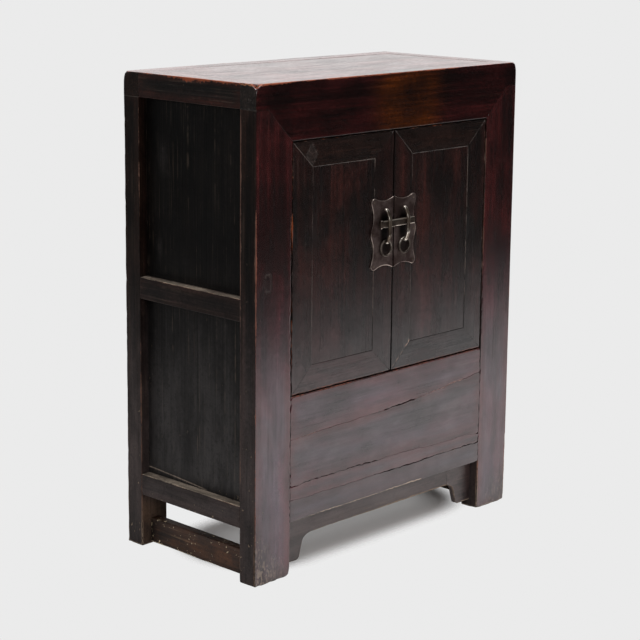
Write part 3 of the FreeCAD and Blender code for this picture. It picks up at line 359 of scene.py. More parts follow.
def lacquer_group():
    """Old lacquer on wood: tone in clouds and along the grain, redder by the joints, red and grey low down:
    partly faded lacquer, partly a painted reflection of the floor.

    Over it lie stains (on the lower side panels a painted highlight instead), dark specks, scratches along
    the grain, scars, rubbed edges, chips near the floor and lines at the joints.
    """
    colours = ("Deep", "Warm", "Low", "Cool", "Joint", "Bare", "Line", "Chip", "Stain Colour")
    shares = {"Low Share": 0.0, "Joint Share": 0.0, "Joint Above": 0.2, "Line Share": 0.5, "Chip Share": 0.0,
              "Scratch Share": 0.0, "Scar Share": 0.0, "Gloss": 0.3, "Coat Most": 0.0}
    tree, given, out = new_group("aged_lacquer", [
        ("Grain", "Vector", None), ("Place", "Vector", None),
        *((label, "Float", 0.0) for label in ("Wear", "Seam", "Rim", "Stain")),
        *((label, "Color", NO_COLOUR) for label in colours),
        *((label, "Float", value) for label, value in shares.items())],
        [("Color", "Color"), ("Roughness", "Float"), ("Coat", "Float"), ("Height", "Float")])
    plus, times = partial(chain, tree, "ADD"), partial(chain, tree, "MULTIPLY")
    step, mix, maths = partial(rise, tree), partial(blend, tree), partial(calc, tree)
    by_grain, by_place = partial(noise, tree, given["Grain"], 1.0), partial(noise, tree, given["Place"])

    def off(value, amount):
        return times(maths("SUBTRACT", value, 0.5), amount)

    fibre = by_grain(5.0, 0.6, (5, 260, 260))
    vein = by_grain(3.0, 0.55, (1.6, 34, 34), 0.4)
    mottle = by_grain(5.0, 0.65, (9, 30, 30), 0.3)
    streak = by_grain(4.0, 0.6, (5, 17, 17), 0.7)
    gouge = by_grain(4.0, 0.65, (60, 130, 130), 1.2)
    line_along = by_grain(3.0, 0.55, (4, 300, 300))
    grit = by_place(700.0, 2.0, 0.6)
    broad = by_place(4.5, 2.0, 0.5)
    cloud = by_place(7.5, 4.0, 0.6)
    patch = by_place(34.0, 3.0, 0.55)
    speck = by_place(160.0, 3.0, 0.6)
    height_up = add(tree, "ShaderNodeSeparateXYZ", {0: given["Place"]}).outputs["Z"]
    by_floor = step(height_up, 0.11, 0.0)
    higher = step(height_up, 0.25, 0.45)

    tone = plus(times(cloud, 0.55), times(vein, 0.45))
    # Lighter, redder and greyer towards the floor: partly faded lacquer and partly a painted reflection of
    # the floor
    low = mix(step(streak, 0.40, 0.60), given["Low"], given["Cool"])
    lower = times(step(height_up, 0.56, 0.16), given["Low Share"], step(tone, 0.3, 0.62, 0.45, 1.0))
    joint = plus(given["Rim"], off(vein, 0.7), off(cloud, 0.9))
    joint = times(step(joint, 0.30, 0.95), given["Joint Share"],
                  step(height_up, 0.55, 0.25, given["Joint Above"], 1.0))
    stained = times(given["Stain"], step(cloud, 0.2, 0.6))
    scratch = times(step(line_along, 0.58, 0.70), step(patch, 0.40, 0.62), given["Scratch Share"])
    scarred = times(given["Stain"], given["Scar Share"])
    worn = times(given["Wear"], maths("MULTIPLY_ADD", by_floor, 0.45, 1.0))
    rubbed = step(plus(worn, off(speck, 0.9), off(patch, 1.0), off(broad, 1.6)), 0.72, 1.0)
    nicked = step(plus(worn, off(speck, 2.2)), 1.05, 1.15, 0.0, 0.85)
    chipped = plus(speck, times(given["Chip Share"], 0.06), times(given["Rim"], 0.08))
    chipped = times(step(chipped, 0.785, 0.815), step(height_up, 0.42, 0.02, 0.12, 1.0),
                    step(patch, 0.46, 0.58))
    chipped = maths("MULTIPLY", chipped, given["Chip Share"], clamp=True)
    line = plus(given["Seam"], off(speck, 0.35))
    line = times(step(line, 0.76, 0.92), step(patch, 0.35, 0.6), given["Line Share"])

    # What lies over what, from the first to the last
    doubled = ((2, 2, 2, 1), "MULTIPLY")
    layers = [
        (lower, low),
        (joint, given["Joint"]),
        (stained, given["Stain Colour"]),
        (step(mottle, 0.42, 0.66, 0.0, 0.5), NO_COLOUR),
        (step(fibre, 0.48, 0.75, 0.0, 0.5), NO_COLOUR),
        (step(grit, 0.40, 0.62, 0.0, 0.35), NO_COLOUR),
        (step(speck, 0.50, 0.72, 0.0, 0.45), NO_COLOUR),
        (times(step(fibre, 0.48, 0.32, 0.0, 0.8), higher), *doubled),
        (times(step(speck, 0.46, 0.30, 0.0, 0.6), higher), *doubled),
        (scratch, given["Chip"]),
        (times(scarred, step(gouge, 0.47, 0.36)), NO_COLOUR),
        (times(scarred, step(gouge, 0.50, 0.60, 0.0, 0.9)), given["Chip"]),
        (rubbed, mix(by_floor, given["Bare"], given["Chip"])),
        (nicked, NO_COLOUR),
        (chipped, given["Chip"]),
        (line, mix(step(height_up, 0.45, 0.37, 0.0, 0.9), given["Line"], NO_COLOUR))]
    colour = mix(step(tone, 0.40, 0.62), given["Deep"], given["Warm"])
    for share, over, *kind in layers:
        colour = mix(share, colour, over, *kind)

    rough = plus(given["Gloss"], off(fibre, 0.15), off(mottle, 0.25))
    rough = maths("ADD", rough, times(maths("MAXIMUM", rubbed, scarred), 0.3), clamp=True)
    coat = times(given["Coat Most"], step(mottle, 0.30, 0.62, 1.0, 0.72), step(fibre, 0.35, 0.65, 1.0, 0.84),
                 step(patch, 0.38, 0.60, 1.0, 0.86))
    dulled = times(step(speck, 0.42, 0.62), higher)
    for cover, loss in ((joint, -0.2), (rubbed, -0.8), (scarred, -0.5), (dulled, -0.35)):
        coat = times(coat, maths("MULTIPLY_ADD", cover, loss, 1.0))
    height = plus(times(fibre, 0.6), times(vein, 0.7), times(grit, 0.12),
                  times(maths("MAXIMUM", rubbed, chipped), -0.8), times(scarred, gouge, -4.0))
    for label, value in (("Color", colour), ("Roughness", rough), ("Coat", coat), ("Height", height)):
        tree.links.new(value, out[label])
    return tree


def metal_group():
    """Brass gone brown: patina in clouds, rubbed bright at the edges (on the handles partly a painted
    highlight), and dirt and painted shadow in stained places.
    """
    tree, given, out = new_group("patinated_metal", [
        ("Place", "Vector", None), ("Wear", "Float", 0.0), ("Stain", "Float", 0.0),
        *((label, "Color", NO_COLOUR) for label in ("Dark", "Middle", "Bright"))],
        [("Color", "Color"), ("Roughness", "Float"), ("Height", "Float")])
    plus, times = partial(chain, tree, "ADD"), partial(chain, tree, "MULTIPLY")
    step, mix, by_place = partial(rise, tree), partial(blend, tree), partial(noise, tree, given["Place"])
    cloud = by_place(42.0, 5.0, 0.6)
    speck = by_place(420.0, 3.0, 0.6)
    spread = by_place(24.0, 2.0, 0.5)
    rubbed = step(plus(given["Wear"], times(cloud, 0.8), times(spread, 1.3), -1.05), 0.62, 0.95)
    colour = mix(step(cloud, 0.36, 0.62), given["Dark"], given["Middle"])
    for share, over in ((step(speck, 0.5, 0.75, 0.0, 0.5), given["Dark"]), (rubbed, given["Bright"]),
                        (given["Stain"], GREASE_AND_SHADOW)):
        colour = mix(share, colour, over)
    rough = plus(0.42, times(speck, 0.2), times(rubbed, -0.2))
    for label, value in (("Color", colour), ("Roughness", rough), ("Height", cloud)):
        tree.links.new(value, out[label])
    return tree


LACQUER, METAL = lacquer_group(), metal_group()


def new_material(name, group, inputs, relief, own_grain=True, **shader):
    """A Principled material fed by a surface group, with its fixed values on the shader.

    A piece with no grain of its own has it along X.
    """
    material = bpy.data.materials.new(name)
    material.use_nodes = True
    tree = material.node_tree
    principled = tree.nodes["Principled BSDF"]
    for label, value in shader.items():
        principled.inputs[label.replace("_", " ")].default_value = value
    surface = add(tree, "ShaderNodeGroup", node_tree=group)
    place = add(tree, "ShaderNodeTexCoord").outputs["Object"]
    tree.links.new(place, surface.inputs["Place"])
    for label in ("Grain", "Wear", "Seam", "Rim", "Stain"):
        if label in surface.inputs:
            source = add(tree, "ShaderNodeAttribute", attribute_name=label.lower())
            tree.links.new(source.outputs["Vector" if label == "Grain" else "Fac"], surface.inputs[label])
    if not own_grain:
        tree.links.new(place, surface.inputs["Grain"])
    for label, value in inputs.items():
        surface.inputs[label].default_value = value
    bump = add(tree, "ShaderNodeBump",
               {"Height": surface.outputs["Height"], "Strength": relief, "Distance": 0.001})
    tree.links.new(surface.outputs["Color"], principled.inputs["Base Color"])
    tree.links.new(surface.outputs["Roughness"], principled.inputs["Roughness"])
    if inputs.get("Coat Most"):
        tree.links.new(surface.outputs["Coat"], principled.inputs["Coat Weight"])
    tree.links.new(bump.outputs[0], principled.inputs["Normal"])
    return material


def lacquer(name, colours, shares, relief=0.25, **shader):
    """One lacquer finish: colours and shares by the group's names, the low tone in one colour or two."""
    colours = {"Cool": colours.get("Low", (0, 0, 0)), **colours}
    inputs = {label: (*colour, 1) for label, colour in colours.items()}
    return new_material(name, LACQUER, {**inputs, **shares}, relief, **shader)


def metal(name, dark, middle, bright):
    """One metal finish."""
    colours = {"Dark": (*dark, 1), "Middle": (*middle, 1), "Bright": (*bright, 1)}
    return new_material(name, METAL, colours, 0.2, Metallic=1.0)


# In every lacquer the Low and Cool colours, towards the floor, are partly a painted reflection of the floor
RED = {"Deep": (0.014, 0.0028, 0.0028), "Warm": (0.052, 0.0076, 0.0076), "Low": (0.113, 0.034, 0.059),
       "Cool": (0.075, 0.043, 0.073), "Joint": (0.10, 0.015, 0.015), "Bare": (0.18, 0.038, 0.013),
       "Line": (0.004, 0.002, 0.002), "Chip": (0.26, 0.175, 0.115), "Stain Colour": (0.075, 0.060, 0.054)}
RED_SHARES = {"Low Share": 0.85, "Joint Share": 0.6, "Line Share": 0.9, "Chip Share": 0.6,
              "Scratch Share": 0.05, "Gloss": 0.23, "Coat Most": 0.9}
RED_COAT = {"Coat_Roughness": 0.18, "Coat_IOR": 1.75, "Specular_IOR_Level": 0.8}
TOP_RAIL_LACQUER = lacquer(
    "top_rail_lacquer",
    {**RED, "Deep": (0.0065, 0.0016, 0.0016), "Warm": (0.028, 0.0042, 0.0042), "Bare": (0.24, 0.048, 0.015),
     "Stain Colour": (0.060, 0.0125, 0.0003)},
    {**RED_SHARES, "Joint Above": 0.06, "Scratch Share": 0.02}, Coat_Roughness=0.18, Coat_IOR=1.5)
FRAME_LACQUER = lacquer("frame_lacquer", RED, RED_SHARES, **RED_COAT)
LEG_LACQUER = lacquer("leg_lacquer", {**RED, "Bare": (0.17, 0.038, 0.014), "Chip": (0.21, 0.155, 0.115)},
                      {**RED_SHARES, "Chip Share": 0.9, "Scar Share": 0.9}, **RED_COAT)
BOARD_LACQUER = lacquer(
    "board_lacquer",
    {**RED, "Low": (0.076, 0.027, 0.047), "Cool": (0.052, 0.033, 0.056), "Bare": (0.28, 0.17, 0.14)},
    RED_SHARES, **RED_COAT)
RAIL_LACQUER = lacquer(
    "rail_lacquer",
    {**RED, "Low": (0.063, 0.034, 0.052), "Cool": (0.043, 0.038, 0.062), "Joint": (0.06, 0.020, 0.022),
     "Bare": (0.46, 0.35, 0.27)}, RED_SHARES, **RED_COAT)
DOOR = {"Deep": (0.007, 0.0032, 0.0027), "Warm": (0.035, 0.0090, 0.0070), "Low": (0.078, 0.032, 0.040),
        "Cool": (0.043, 0.038, 0.046), "Joint": (0.012, 0.007, 0.006), "Bare": (0.20, 0.045, 0.017),
        "Line": (0.15, 0.12, 0.105), "Chip": (0.10, 0.07, 0.06), "Stain Colour": (0.050, 0.040, 0.036)}
DOOR_SHARES = {"Low Share": 0.85, "Joint Share": 0.35, "Joint Above": 1.0, "Line Share": 0.7,
               "Scratch Share": 0.12, "Gloss": 0.25, "Coat Most": 0.9}
DOOR_COAT = {"Coat_Roughness": 0.19, "Coat_IOR": 1.66, "Specular_IOR_Level": 0.7}
DOOR_LACQUER = lacquer("door_lacquer", DOOR, DOOR_SHARES, **DOOR_COAT)
CHIPPED_LACQUER = lacquer(
    "chipped_lacquer", {**DOOR, "Stain Colour": (1.0, 0.68, 0.52)}, DOOR_SHARES, **DOOR_COAT)
DOOR_TOP_LACQUER = lacquer(
    "door_top_lacquer", {**DOOR, "Deep": (0.004, 0.0022, 0.0017), "Warm": (0.019, 0.0078, 0.0055)},
    DOOR_SHARES, **DOOR_COAT)
BLACK = {"Deep": (0.0018, 0.0011, 0.0009), "Warm": (0.0075, 0.0042, 0.0031), "Low": (0.058, 0.045, 0.044),
         "Joint": (0.030, 0.013, 0.009), "Bare": (0.095, 0.05, 0.036), "Line": (0.06, 0.048, 0.04),
         "Chip": (0.17, 0.125, 0.09), "Stain Colour": (0.20, 0.115, 0.064)}
BLACK_SHARES = {"Low Share": 1.0, "Joint Share": 0.3, "Joint Above": 1.0, "Line Share": 0.7,
                "Chip Share": 1.2, "Scratch Share": 0.12, "Gloss": 0.42}
SIDE_LACQUER = lacquer("side_lacquer", BLACK, BLACK_SHARES, 0.6, Specular_IOR_Level=0.12)
PANEL = {**BLACK, "Deep": (0.0011, 0.0009, 0.0008), "Warm": (0.0050, 0.0038, 0.0033),
         "Joint": (0.006, 0.004, 0.0035), "Low": (0.036, 0.033, 0.033), "Stain Colour": (0.021, 0.018, 0.017)}
PANEL_SHARES = {**BLACK_SHARES, "Scratch Share": 0.2}
PANEL_LACQUER = lacquer("panel_lacquer", PANEL, PANEL_SHARES, 0.6, Specular_IOR_Level=0.12)
# Its pale stain colour is a painted highlight on a lifted sliver
LOWER_PANEL_LACQUER = lacquer(
    "lower_panel_lacquer", {**PANEL, "Stain Colour": (0.34, 0.27, 0.22)}, PANEL_SHARES, 0.6,
    Specular_IOR_Level=0.12)
SIDE_RAIL_LACQUER = lacquer(
    "side_rail_lacquer",
    {**BLACK, "Deep": (0.004, 0.0022, 0.0018), "Warm": (0.017, 0.008, 0.0058), "Joint": (0.060, 0.012, 0.007),
     "Bare": (0.19, 0.042, 0.015)}, BLACK_SHARES, 0.7, Specular_IOR_Level=0.17)
APRON_LACQUER = lacquer(
    "apron_lacquer",
    {"Deep": (0.022, 0.012, 0.011), "Warm": (0.072, 0.043, 0.040), "Low": (0.096, 0.059, 0.057),
     "Joint": (0.03, 0.012, 0.010), "Bare": (0.26, 0.17, 0.115), "Line": (0.006, 0.004, 0.004),
     "Chip": (0.22, 0.16, 0.115)},
    {"Low Share": 0.5, "Joint Share": 0.3, "Line Share": 0.8, "Chip Share": 0.6, "Scratch Share": 0.35,
     "Gloss": 0.42, "Coat Most": 0.8}, 0.6, Coat_Roughness=0.3, Coat_IOR=1.72)
END_GRAIN = lacquer(
    "end_grain",
    {"Deep": (0.003, 0.0019, 0.0015), "Warm": (0.015, 0.0095, 0.0075), "Bare": (0.22, 0.09, 0.045),
     "Line": (0.03, 0.02, 0.02), "Chip": (0.12, 0.10, 0.09)},
    {"Line Share": 0.6, "Scratch Share": 0.35, "Gloss": 0.5}, 0.5, Specular_IOR_Level=0.18)
TOP_LACQUER = lacquer(
    "top_lacquer",
    {"Deep": (0.13, 0.030, 0.025), "Warm": (0.27, 0.055, 0.046), "Joint": (0.32, 0.062, 0.050),
     "Bare": (0.38, 0.12, 0.055), "Line": (0.06, 0.03, 0.03), "Chip": (0.3, 0.2, 0.16)},
    {"Joint Share": 0.4, "Joint Above": 1.0, "Line Share": 0.15, "Scratch Share": 0.1, "Gloss": 0.22,
     "Coat Most": 0.95}, 0.12, Coat_Roughness=0.15)
# Dark brown edge wood, made darker still as a painted shade in the gaps round the doors
DOOR_EDGE = lacquer(
    "door_edge",
    {"Deep": (0.002, 0.0012, 0.0010), "Warm": (0.016, 0.0080, 0.0060), "Bare": (0.30, 0.075, 0.028),
     "Line": (0.002, 0.001, 0.001), "Chip": (0.07, 0.045, 0.032)},
    {"Line Share": 0.5, "Scratch Share": 0.5, "Gloss": 0.65}, 0.6, Specular_IOR_Level=0.1)
LEDGE = lacquer(
    "dusty_ledge",
    {"Deep": (0.15, 0.110, 0.088), "Warm": (0.46, 0.38, 0.30), "Bare": (0.5, 0.4, 0.3),
     "Line": (0.05, 0.03, 0.03)}, {"Line Share": 0.4, "Gloss": 0.6}, Specular_IOR_Level=0.3)
STRETCHER_WOOD = lacquer(
    "stretcher_wood",
    {"Deep": (0.007, 0.0045, 0.0038), "Warm": (0.15, 0.057, 0.024), "Joint": (0.012, 0.008, 0.006),
     "Bare": (0.34, 0.25, 0.15), "Line": (0.03, 0.015, 0.01), "Chip": (0.55, 0.43, 0.28)},
    {"Joint Share": 0.5, "Line Share": 0.5, "Chip Share": 1.7, "Scratch Share": 0.15, "Gloss": 0.55}, 0.9,
    Specular_IOR_Level=0.3)
BARE = {"Deep": (0.13, 0.075, 0.042), "Warm": (0.26, 0.165, 0.095), "Bare": (0.3, 0.2, 0.12),
        "Line": (0.06, 0.03, 0.02)}
BARE_WOOD = lacquer("bare_wood", BARE, {"Line Share": 0.6, "Gloss": 0.6}, Specular_IOR_Level=0.3)
INNER_WOOD = lacquer("inner_wood", BARE, {"Gloss": 0.6}, own_grain=False, Specular_IOR_Level=0.3)
BACK_WOOD = lacquer(
    "back_wood",
    {"Deep": (0.035, 0.022, 0.015), "Warm": (0.09, 0.055, 0.036), "Bare": (0.2, 0.12, 0.07),
     "Line": (0.02, 0.012, 0.01)}, {"Line Share": 0.7, "Gloss": 0.6}, Specular_IOR_Level=0.3)
PLATE_METAL = metal("plate_metal", (0.085, 0.055, 0.05), (0.20, 0.15, 0.14), (0.78, 0.64, 0.57))
BAR_METAL = metal("bar_metal", (0.09, 0.064, 0.050), (0.24, 0.19, 0.145), (1.0, 0.92, 0.82))
RING_METAL = metal("ring_metal", (0.07, 0.055, 0.047), (0.21, 0.175, 0.15), (0.80, 0.74, 0.66))
BOLT_METAL = metal("bolt_metal", (0.05, 0.036, 0.03), (0.14, 0.11, 0.09), (0.85, 0.76, 0.66))
INSIDE = {BEHIND: BARE_WOOD}


# Carcass

def seam_line(heights, wobble, seed):
    """A seam across the front: straight runs between three heights, with a little wander."""
    def height(x):
        line = np.stack([x, 0 * x, 0 * x], axis=1)
        wander = smooth_noise(line, 0.035, seed) + 0.5 * smooth_noise(line, 0.009, seed + 1)
        return np.interp(x, (-HALF_OPENING, 0, HALF_OPENING), heights) + wobble * wander
    return height


def level(height):
    """A straight seam at one height."""
    return lambda x: np.full(len(x), height)


def between(low, high, lower, upper):
    """A warp that spreads heights between two seams: z = lower(x) + t (upper(x) - lower(x))."""
    def warp(points):
        share = (points[:, 2] - low) / (high - low)
        bottom, top = lower(points[:, 0]), upper(points[:, 0])
        return moved(points, 2, bottom + share * (top - bottom))
    return warp


def leg_mitre(points):
    """Lowers a front leg's top to the mitre: it falls one for one from the shoulder to the opening."""
    start = OPENING_TOP - 0.05
    top = np.minimum(LEG_TOP, OPENING_TOP + np.abs(points[:, 0]) - HALF_OPENING)
    share = (points[:, 2] - start) / (LEG_TOP - start)
    return moved(points, 2, np.where(share > 0, start + share * (top - start), points[:, 2]))


def rail_mitre(points):
    """Draws in the front top rail's ends below the shoulder, to half the opening's width plus the rise."""
    half = np.where(points[:, 2] > LEG_TOP, HALF_WIDTH, HALF_OPENING + points[:, 2] - OPENING_TOP)
    return moved(points, 0, points[:, 0] * half / HALF_WIDTH)


# Surface marks: middles and half sizes along the face, and how deep behind the front they still show
ON_FRONT, ON_DOOR, ON_BACK_LEG = FRONT + 0.004, DOOR_FACE + 0.002, BACK_LEG_FRONT + 0.002
WARM_MIDDLE, WARM_HALF = 0.036, 0.080
PLUG_MIDDLE, PLUG_HALF = (-0.3045, 0.514), (0.0070, 0.0140)
SCUFF_TOP = 0.075
BARE_FOOT_TOP, BARE_FOOT_FADE, BARE_INSIDE_FROM = 0.10, 0.03, 0.115
SMUDGES = (((0.088, 0.705), (0.016, 0.045), 0.6), ((0.098, 0.535), (0.008, 0.022), 1.0))
SLIVER_START, SLIVER_LENGTH, SLIVER_LOW, SLIVER_CLIMB, SLIVER_HALF = -0.014, 0.134, 0.1345, 0.009, 0.0009
SLIVER_ROWS = np.arange(0.1335, 0.1455, 0.0004)
PATCH_MIDDLE, PATCH_HALF = (-0.2035, 0.7165), (0.0130, 0.0180)


def warm_middle(points):
    """A warmer stretch of the front top rail: exp(-d^4) of the distance along it from its middle."""
    return hump((points[:, 0] - WARM_MIDDLE) / WARM_HALF, 4)


def foot_scuffs(points):
    """A front foot's scuffs: most by the floor at the outer edge, and half as much on the right."""
    outward = (np.abs(points[:, 0]) - HALF_OPENING) / (HALF_WIDTH - HALF_OPENING)
    reach = np.clip(1.15 * outward - points[:, 2] / SCUFF_TOP + 0.25, 0, 1)
    return reach * np.where(points[:, 0] < 0, 1.0, 0.5) * (points[:, 1] < ON_FRONT)


def leg_marks(points):
    """The scuffed foot, and on the left leg a plug's outline: a band where a squared oval's radius is one."""
    across, up = np.abs((points[:, (0, 2)] - PLUG_MIDDLE) / PLUG_HALF).T
    outline = hump(((across ** 4 + up ** 4) ** 0.25 - 1) / 0.16) * (points[:, 1] < ON_FRONT)
    return np.maximum(foot_scuffs(points), 0.22 * outline)


def bare_places(points):
    """Where a back leg is bare: thinly at its foot towards the front, and wholly inside the cabinet."""
    foot = np.clip((BARE_FOOT_TOP - points[:, 2]) / BARE_FOOT_FADE, 0, 1) * (points[:, 1] < ON_BACK_LEG)
    inside = (np.abs(points[:, 0]) < SIDE_PANEL_INNER) & (points[:, 2] > BARE_INSIDE_FROM)
    return np.maximum(0.45 * foot, inside)


def panel_dust(points):
    """Two upright smudges towards the back of an upper side panel, each exp(-a^4 - b^4), by noise."""
    dust = [share * hump((points[:, 1:] - middle) / half, 4).prod(axis=1) for middle, half, share in SMUDGES]
    return np.max(dust, axis=0) * np.clip(0.4 + smooth_noise(points * (1, 6, 1), 0.05, 21), 0, 1)


def sliver_highlight(points):
    """A painted highlight on the left lower panel, where a lifted sliver catches the light: exp(-d^2) of the
    height over a slope that climbs to the back.
    """
    climb = np.clip((points[:, 1] - SLIVER_START) / SLIVER_LENGTH, 0, 1)
    off = points[:, 2] - SLIVER_LOW - SLIVER_CLIMB * climb ** 0.8
    return hump(off / SLIVER_HALF) * (climb > 0) * (points[:, 0] < 0)


WIDTH, OPENING = (-HALF_WIDTH, HALF_WIDTH), (-HALF_OPENING, HALF_OPENING)
SIDE_DEPTH = (FRONT_LEG_BACK, BACK_LEG_FRONT)
board("front_top_rail", WIDTH, (FRONT, FRONT_LEG_BACK), (OPENING_TOP, HEIGHT), ALONG_X,
      TOP_RAIL_LACQUER, {ABOVE: TOP_LACQUER, LEFT: END_GRAIN, RIGHT: END_GRAIN, BEHIND: BARE_WOOD},
      worn=[(AHEAD, ABOVE), (LEFT, ABOVE), (RIGHT, ABOVE)], plain=[(AHEAD, BELOW)],
      flush=[(LEFT, AHEAD), (RIGHT, AHEAD), (LEFT, BEHIND), (RIGHT, BEHIND)],
      chips=[((-HALF_WIDTH, FRONT, HEIGHT), 0.013, 0.012), ((HALF_WIDTH, FRONT, HEIGHT), 0.005, 0.010)],
      stain=warm_middle, warp=rail_mitre, reach=0.007, step=0.005, rows=(LEG_TOP - 0.0003, LEG_TOP + 0.0003))
board("back_top_rail", WIDTH, (BACK_LEG_FRONT, BACK), (LEG_TOP, HEIGHT), ALONG_X,
      SIDE_LACQUER, {ABOVE: TOP_LACQUER, BEHIND: BACK_WOOD},
      worn=[(BEHIND, ABOVE), (LEFT, ABOVE), (RIGHT, ABOVE)], flush=[(LEFT, AHEAD), (RIGHT, AHEAD)],
      chips=[((-HALF_WIDTH, BACK, HEIGHT), 0.005, 0.010)])
board("top_panel", (-SIDE_RAIL_INNER, SIDE_RAIL_INNER), SIDE_DEPTH, TOP_PANEL, ALONG_X, TOP_LACQUER,
      {BELOW: BARE_WOOD})

# Heights on the front legs: worn and faint runs of the outer corner, where it is crisp, and rubs by the doors
CORNER_WORN, CORNER_FAINT, CORNER_CRISP = (0, 0.13), (0.13, 0.64), (0.60, LEG_TOP)
DOOR_WEAR = {"left": (0.34, 0.62), "right": (0.45, 0.72)}
FEET = [(face, BELOW) for face in (LEFT, RIGHT, AHEAD, BEHIND)]
for name, side in SIDES:
    outer, outward, inward = side * HALF_WIDTH, (0, side), (0, -side)
    board(f"front_leg_{name}", (side * HALF_OPENING, outer), (FRONT, FRONT_LEG_BACK), (0, LEG_TOP), ALONG_Z,
          LEG_LACQUER, dict.fromkeys((LEFT, RIGHT, BEHIND), SIDE_LACQUER),
          worn=[(outward, AHEAD, CORNER_WORN), (inward, AHEAD, (0, BOTTOM_RAIL_LOW)),
                (inward, AHEAD, DOOR_WEAR[name]), *FEET],
          faint=[(outward, AHEAD, CORNER_FAINT), (outward, BEHIND)], flush=[(outward, AHEAD, CORNER_CRISP)],
          cracks=[((inward, AHEAD, (BOTTOM_RAIL_LOW, SILL_TOP)), 0.0028),
                  ((inward, AHEAD, (SILL_TOP, OPENING_TOP)), 0.0020)],
          chips=[((side * HALF_OPENING, FRONT, 0), 0.005, 0.010), ((HALF_WIDTH, FRONT, 0), 0.003, 0.010)],
          dents=foot_scuffs, stain=leg_marks, warp=leg_mitre, rub=1.15, step=0.0025)
    board(f"back_leg_{name}", (side * BACK_LEG_INNER, outer), (BACK_LEG_FRONT, BACK), (0, LEG_TOP), ALONG_Z,
          SIDE_LACQUER, {BEHIND: BACK_WOOD}, worn=[(outward, BEHIND), *FEET], faint=[(outward, AHEAD)],
          stain=bare_places)
    rails = (side * SIDE_RAIL_INNER, outer)
    arrises = {"worn": [(outward, ABOVE)], "plain": [(outward, BELOW)]}
    board(f"side_top_rail_{name}", rails, SIDE_DEPTH, (LEG_TOP, HEIGHT), ALONG_Y, SIDE_RAIL_LACQUER,
          {ABOVE: TOP_LACQUER, inward: BARE_WOOD}, **arrises, flush=[(outward, AHEAD), (outward, BEHIND)],
          rub=0.85, reach=0.013, step=0.004)
    for row, low, high in (("mid", SIDE_RAIL_LOW, SIDE_RAIL_TOP), ("low", LOW_RAIL_LOW, LOW_RAIL_TOP)):
        board(f"side_{row}_rail_{name}", rails, SIDE_DEPTH, (low, high), ALONG_Y, SIDE_LACQUER,
              {ABOVE: LEDGE, inward: BARE_WOOD}, **arrises)
    board(f"side_stretcher_{name}", (side * STRETCHER_INNER, side * STRETCHER_OUTER), SIDE_DEPTH,
          STRETCHER_HEIGHTS, ALONG_Y, STRETCHER_WOOD, worn=[(outward, BELOW)],
          plain=[(outward, ABOVE), (inward, ABOVE)], radius=0.002, step=0.004)
    panel = (side * SIDE_PANEL_INNER, side * SIDE_PANEL_OUTER)
    board(f"side_panel_upper_{name}", panel, SIDE_DEPTH, (SIDE_RAIL_TOP, LEG_TOP), ALONG_Z, PANEL_LACQUER,
          {inward: BARE_WOOD}, stain=panel_dust)
    board(f"side_panel_lower_{name}", panel, SIDE_DEPTH, (LOW_RAIL_TOP, SIDE_RAIL_LOW), ALONG_Z,
          LOWER_PANEL_LACQUER, {inward: BARE_WOOD}, stain=sliver_highlight, rows=SLIVER_ROWS)

BACK_RAIL = (BACK_RAIL_FRONT, BACK)
for node, depth, low, high, grain in (
        ("back_mid_rail", BACK_RAIL, BACK_RAIL_LOW, BACK_RAIL_TOP, ALONG_X),
        ("back_low_rail", BACK_RAIL, LOW_RAIL_LOW, LOW_RAIL_TOP, ALONG_X),
        ("back_panel_upper", BACK_PANEL, BACK_RAIL_TOP, LEG_TOP, ALONG_Z),
        ("back_panel_lower", BACK_PANEL, LOW_RAIL_TOP, BACK_RAIL_LOW, ALONG_X)):
    board(node, (-BACK_LEG_INNER, BACK_LEG_INNER), depth, (low, high), grain, BACK_WOOD, {AHEAD: BARE_WOOD})

# Runs of the front's seams that have opened, by how much above and below them, and at the ends
SILL_CRACK, BOARD_CRACK, RAIL_CRACK = (-0.015, 0.065), (-0.26, -0.03), (-0.04, 0.26)
OVER_CRACK, UNDER_CRACK, END_CRACK = 0.0028, 0.0014, 0.0032
RAIL_WEAR = (-0.235, 0.09)
sill_seam = seam_line(SILL_SEAM, 0.0012, 5)
board_seam = seam_line(BOARD_SEAM, 0.0016, 6)
rail_seam = seam_line((BOTTOM_RAIL_TOP,) * 3, 0.0012, 7)


def front_piece(node, back, heights, seams, finish, cracks, other_finishes=INSIDE, **edges):
    """A board across the front between two seams, cracked at its ends and along runs of its edges."""
    ends = [((LEFT, AHEAD), END_CRACK), ((RIGHT, AHEAD), END_CRACK)]
    board(node, OPENING, (FRONT, back), heights, ALONG_X, finish, other_finishes, cracks=[*ends, *cracks],
          warp=between(*heights, *seams), line=0.7, step=0.003, **edges)


front_piece("door_sill", RAIL_BACK, (SILL_LOW, SILL_TOP), (sill_seam, level(SILL_TOP)), FRAME_LACQUER,
            [((AHEAD, BELOW, SILL_CRACK), OVER_CRACK)], {ABOVE: DOOR_LACQUER, **INSIDE},
            worn=[(AHEAD, ABOVE)], flush=[(AHEAD, BELOW)], rub=1.3)
front_piece("front_board_upper", BOARD_BACK, (BOARD_LOW, SILL_LOW), (board_seam, sill_seam), BOARD_LACQUER,
            [((AHEAD, ABOVE, SILL_CRACK), UNDER_CRACK), ((AHEAD, BELOW, BOARD_CRACK), OVER_CRACK)],
            faint=[(AHEAD, ABOVE)], flush=[(AHEAD, BELOW), (AHEAD, ABOVE)])
front_piece("front_board_lower", BOARD_BACK, (BOTTOM_RAIL_TOP, BOARD_LOW), (rail_seam, board_seam),
            BOARD_LACQUER,
            [((AHEAD, ABOVE, BOARD_CRACK), UNDER_CRACK), ((AHEAD, BELOW, RAIL_CRACK), OVER_CRACK)],
            flush=[(AHEAD, BELOW), (AHEAD, ABOVE)])
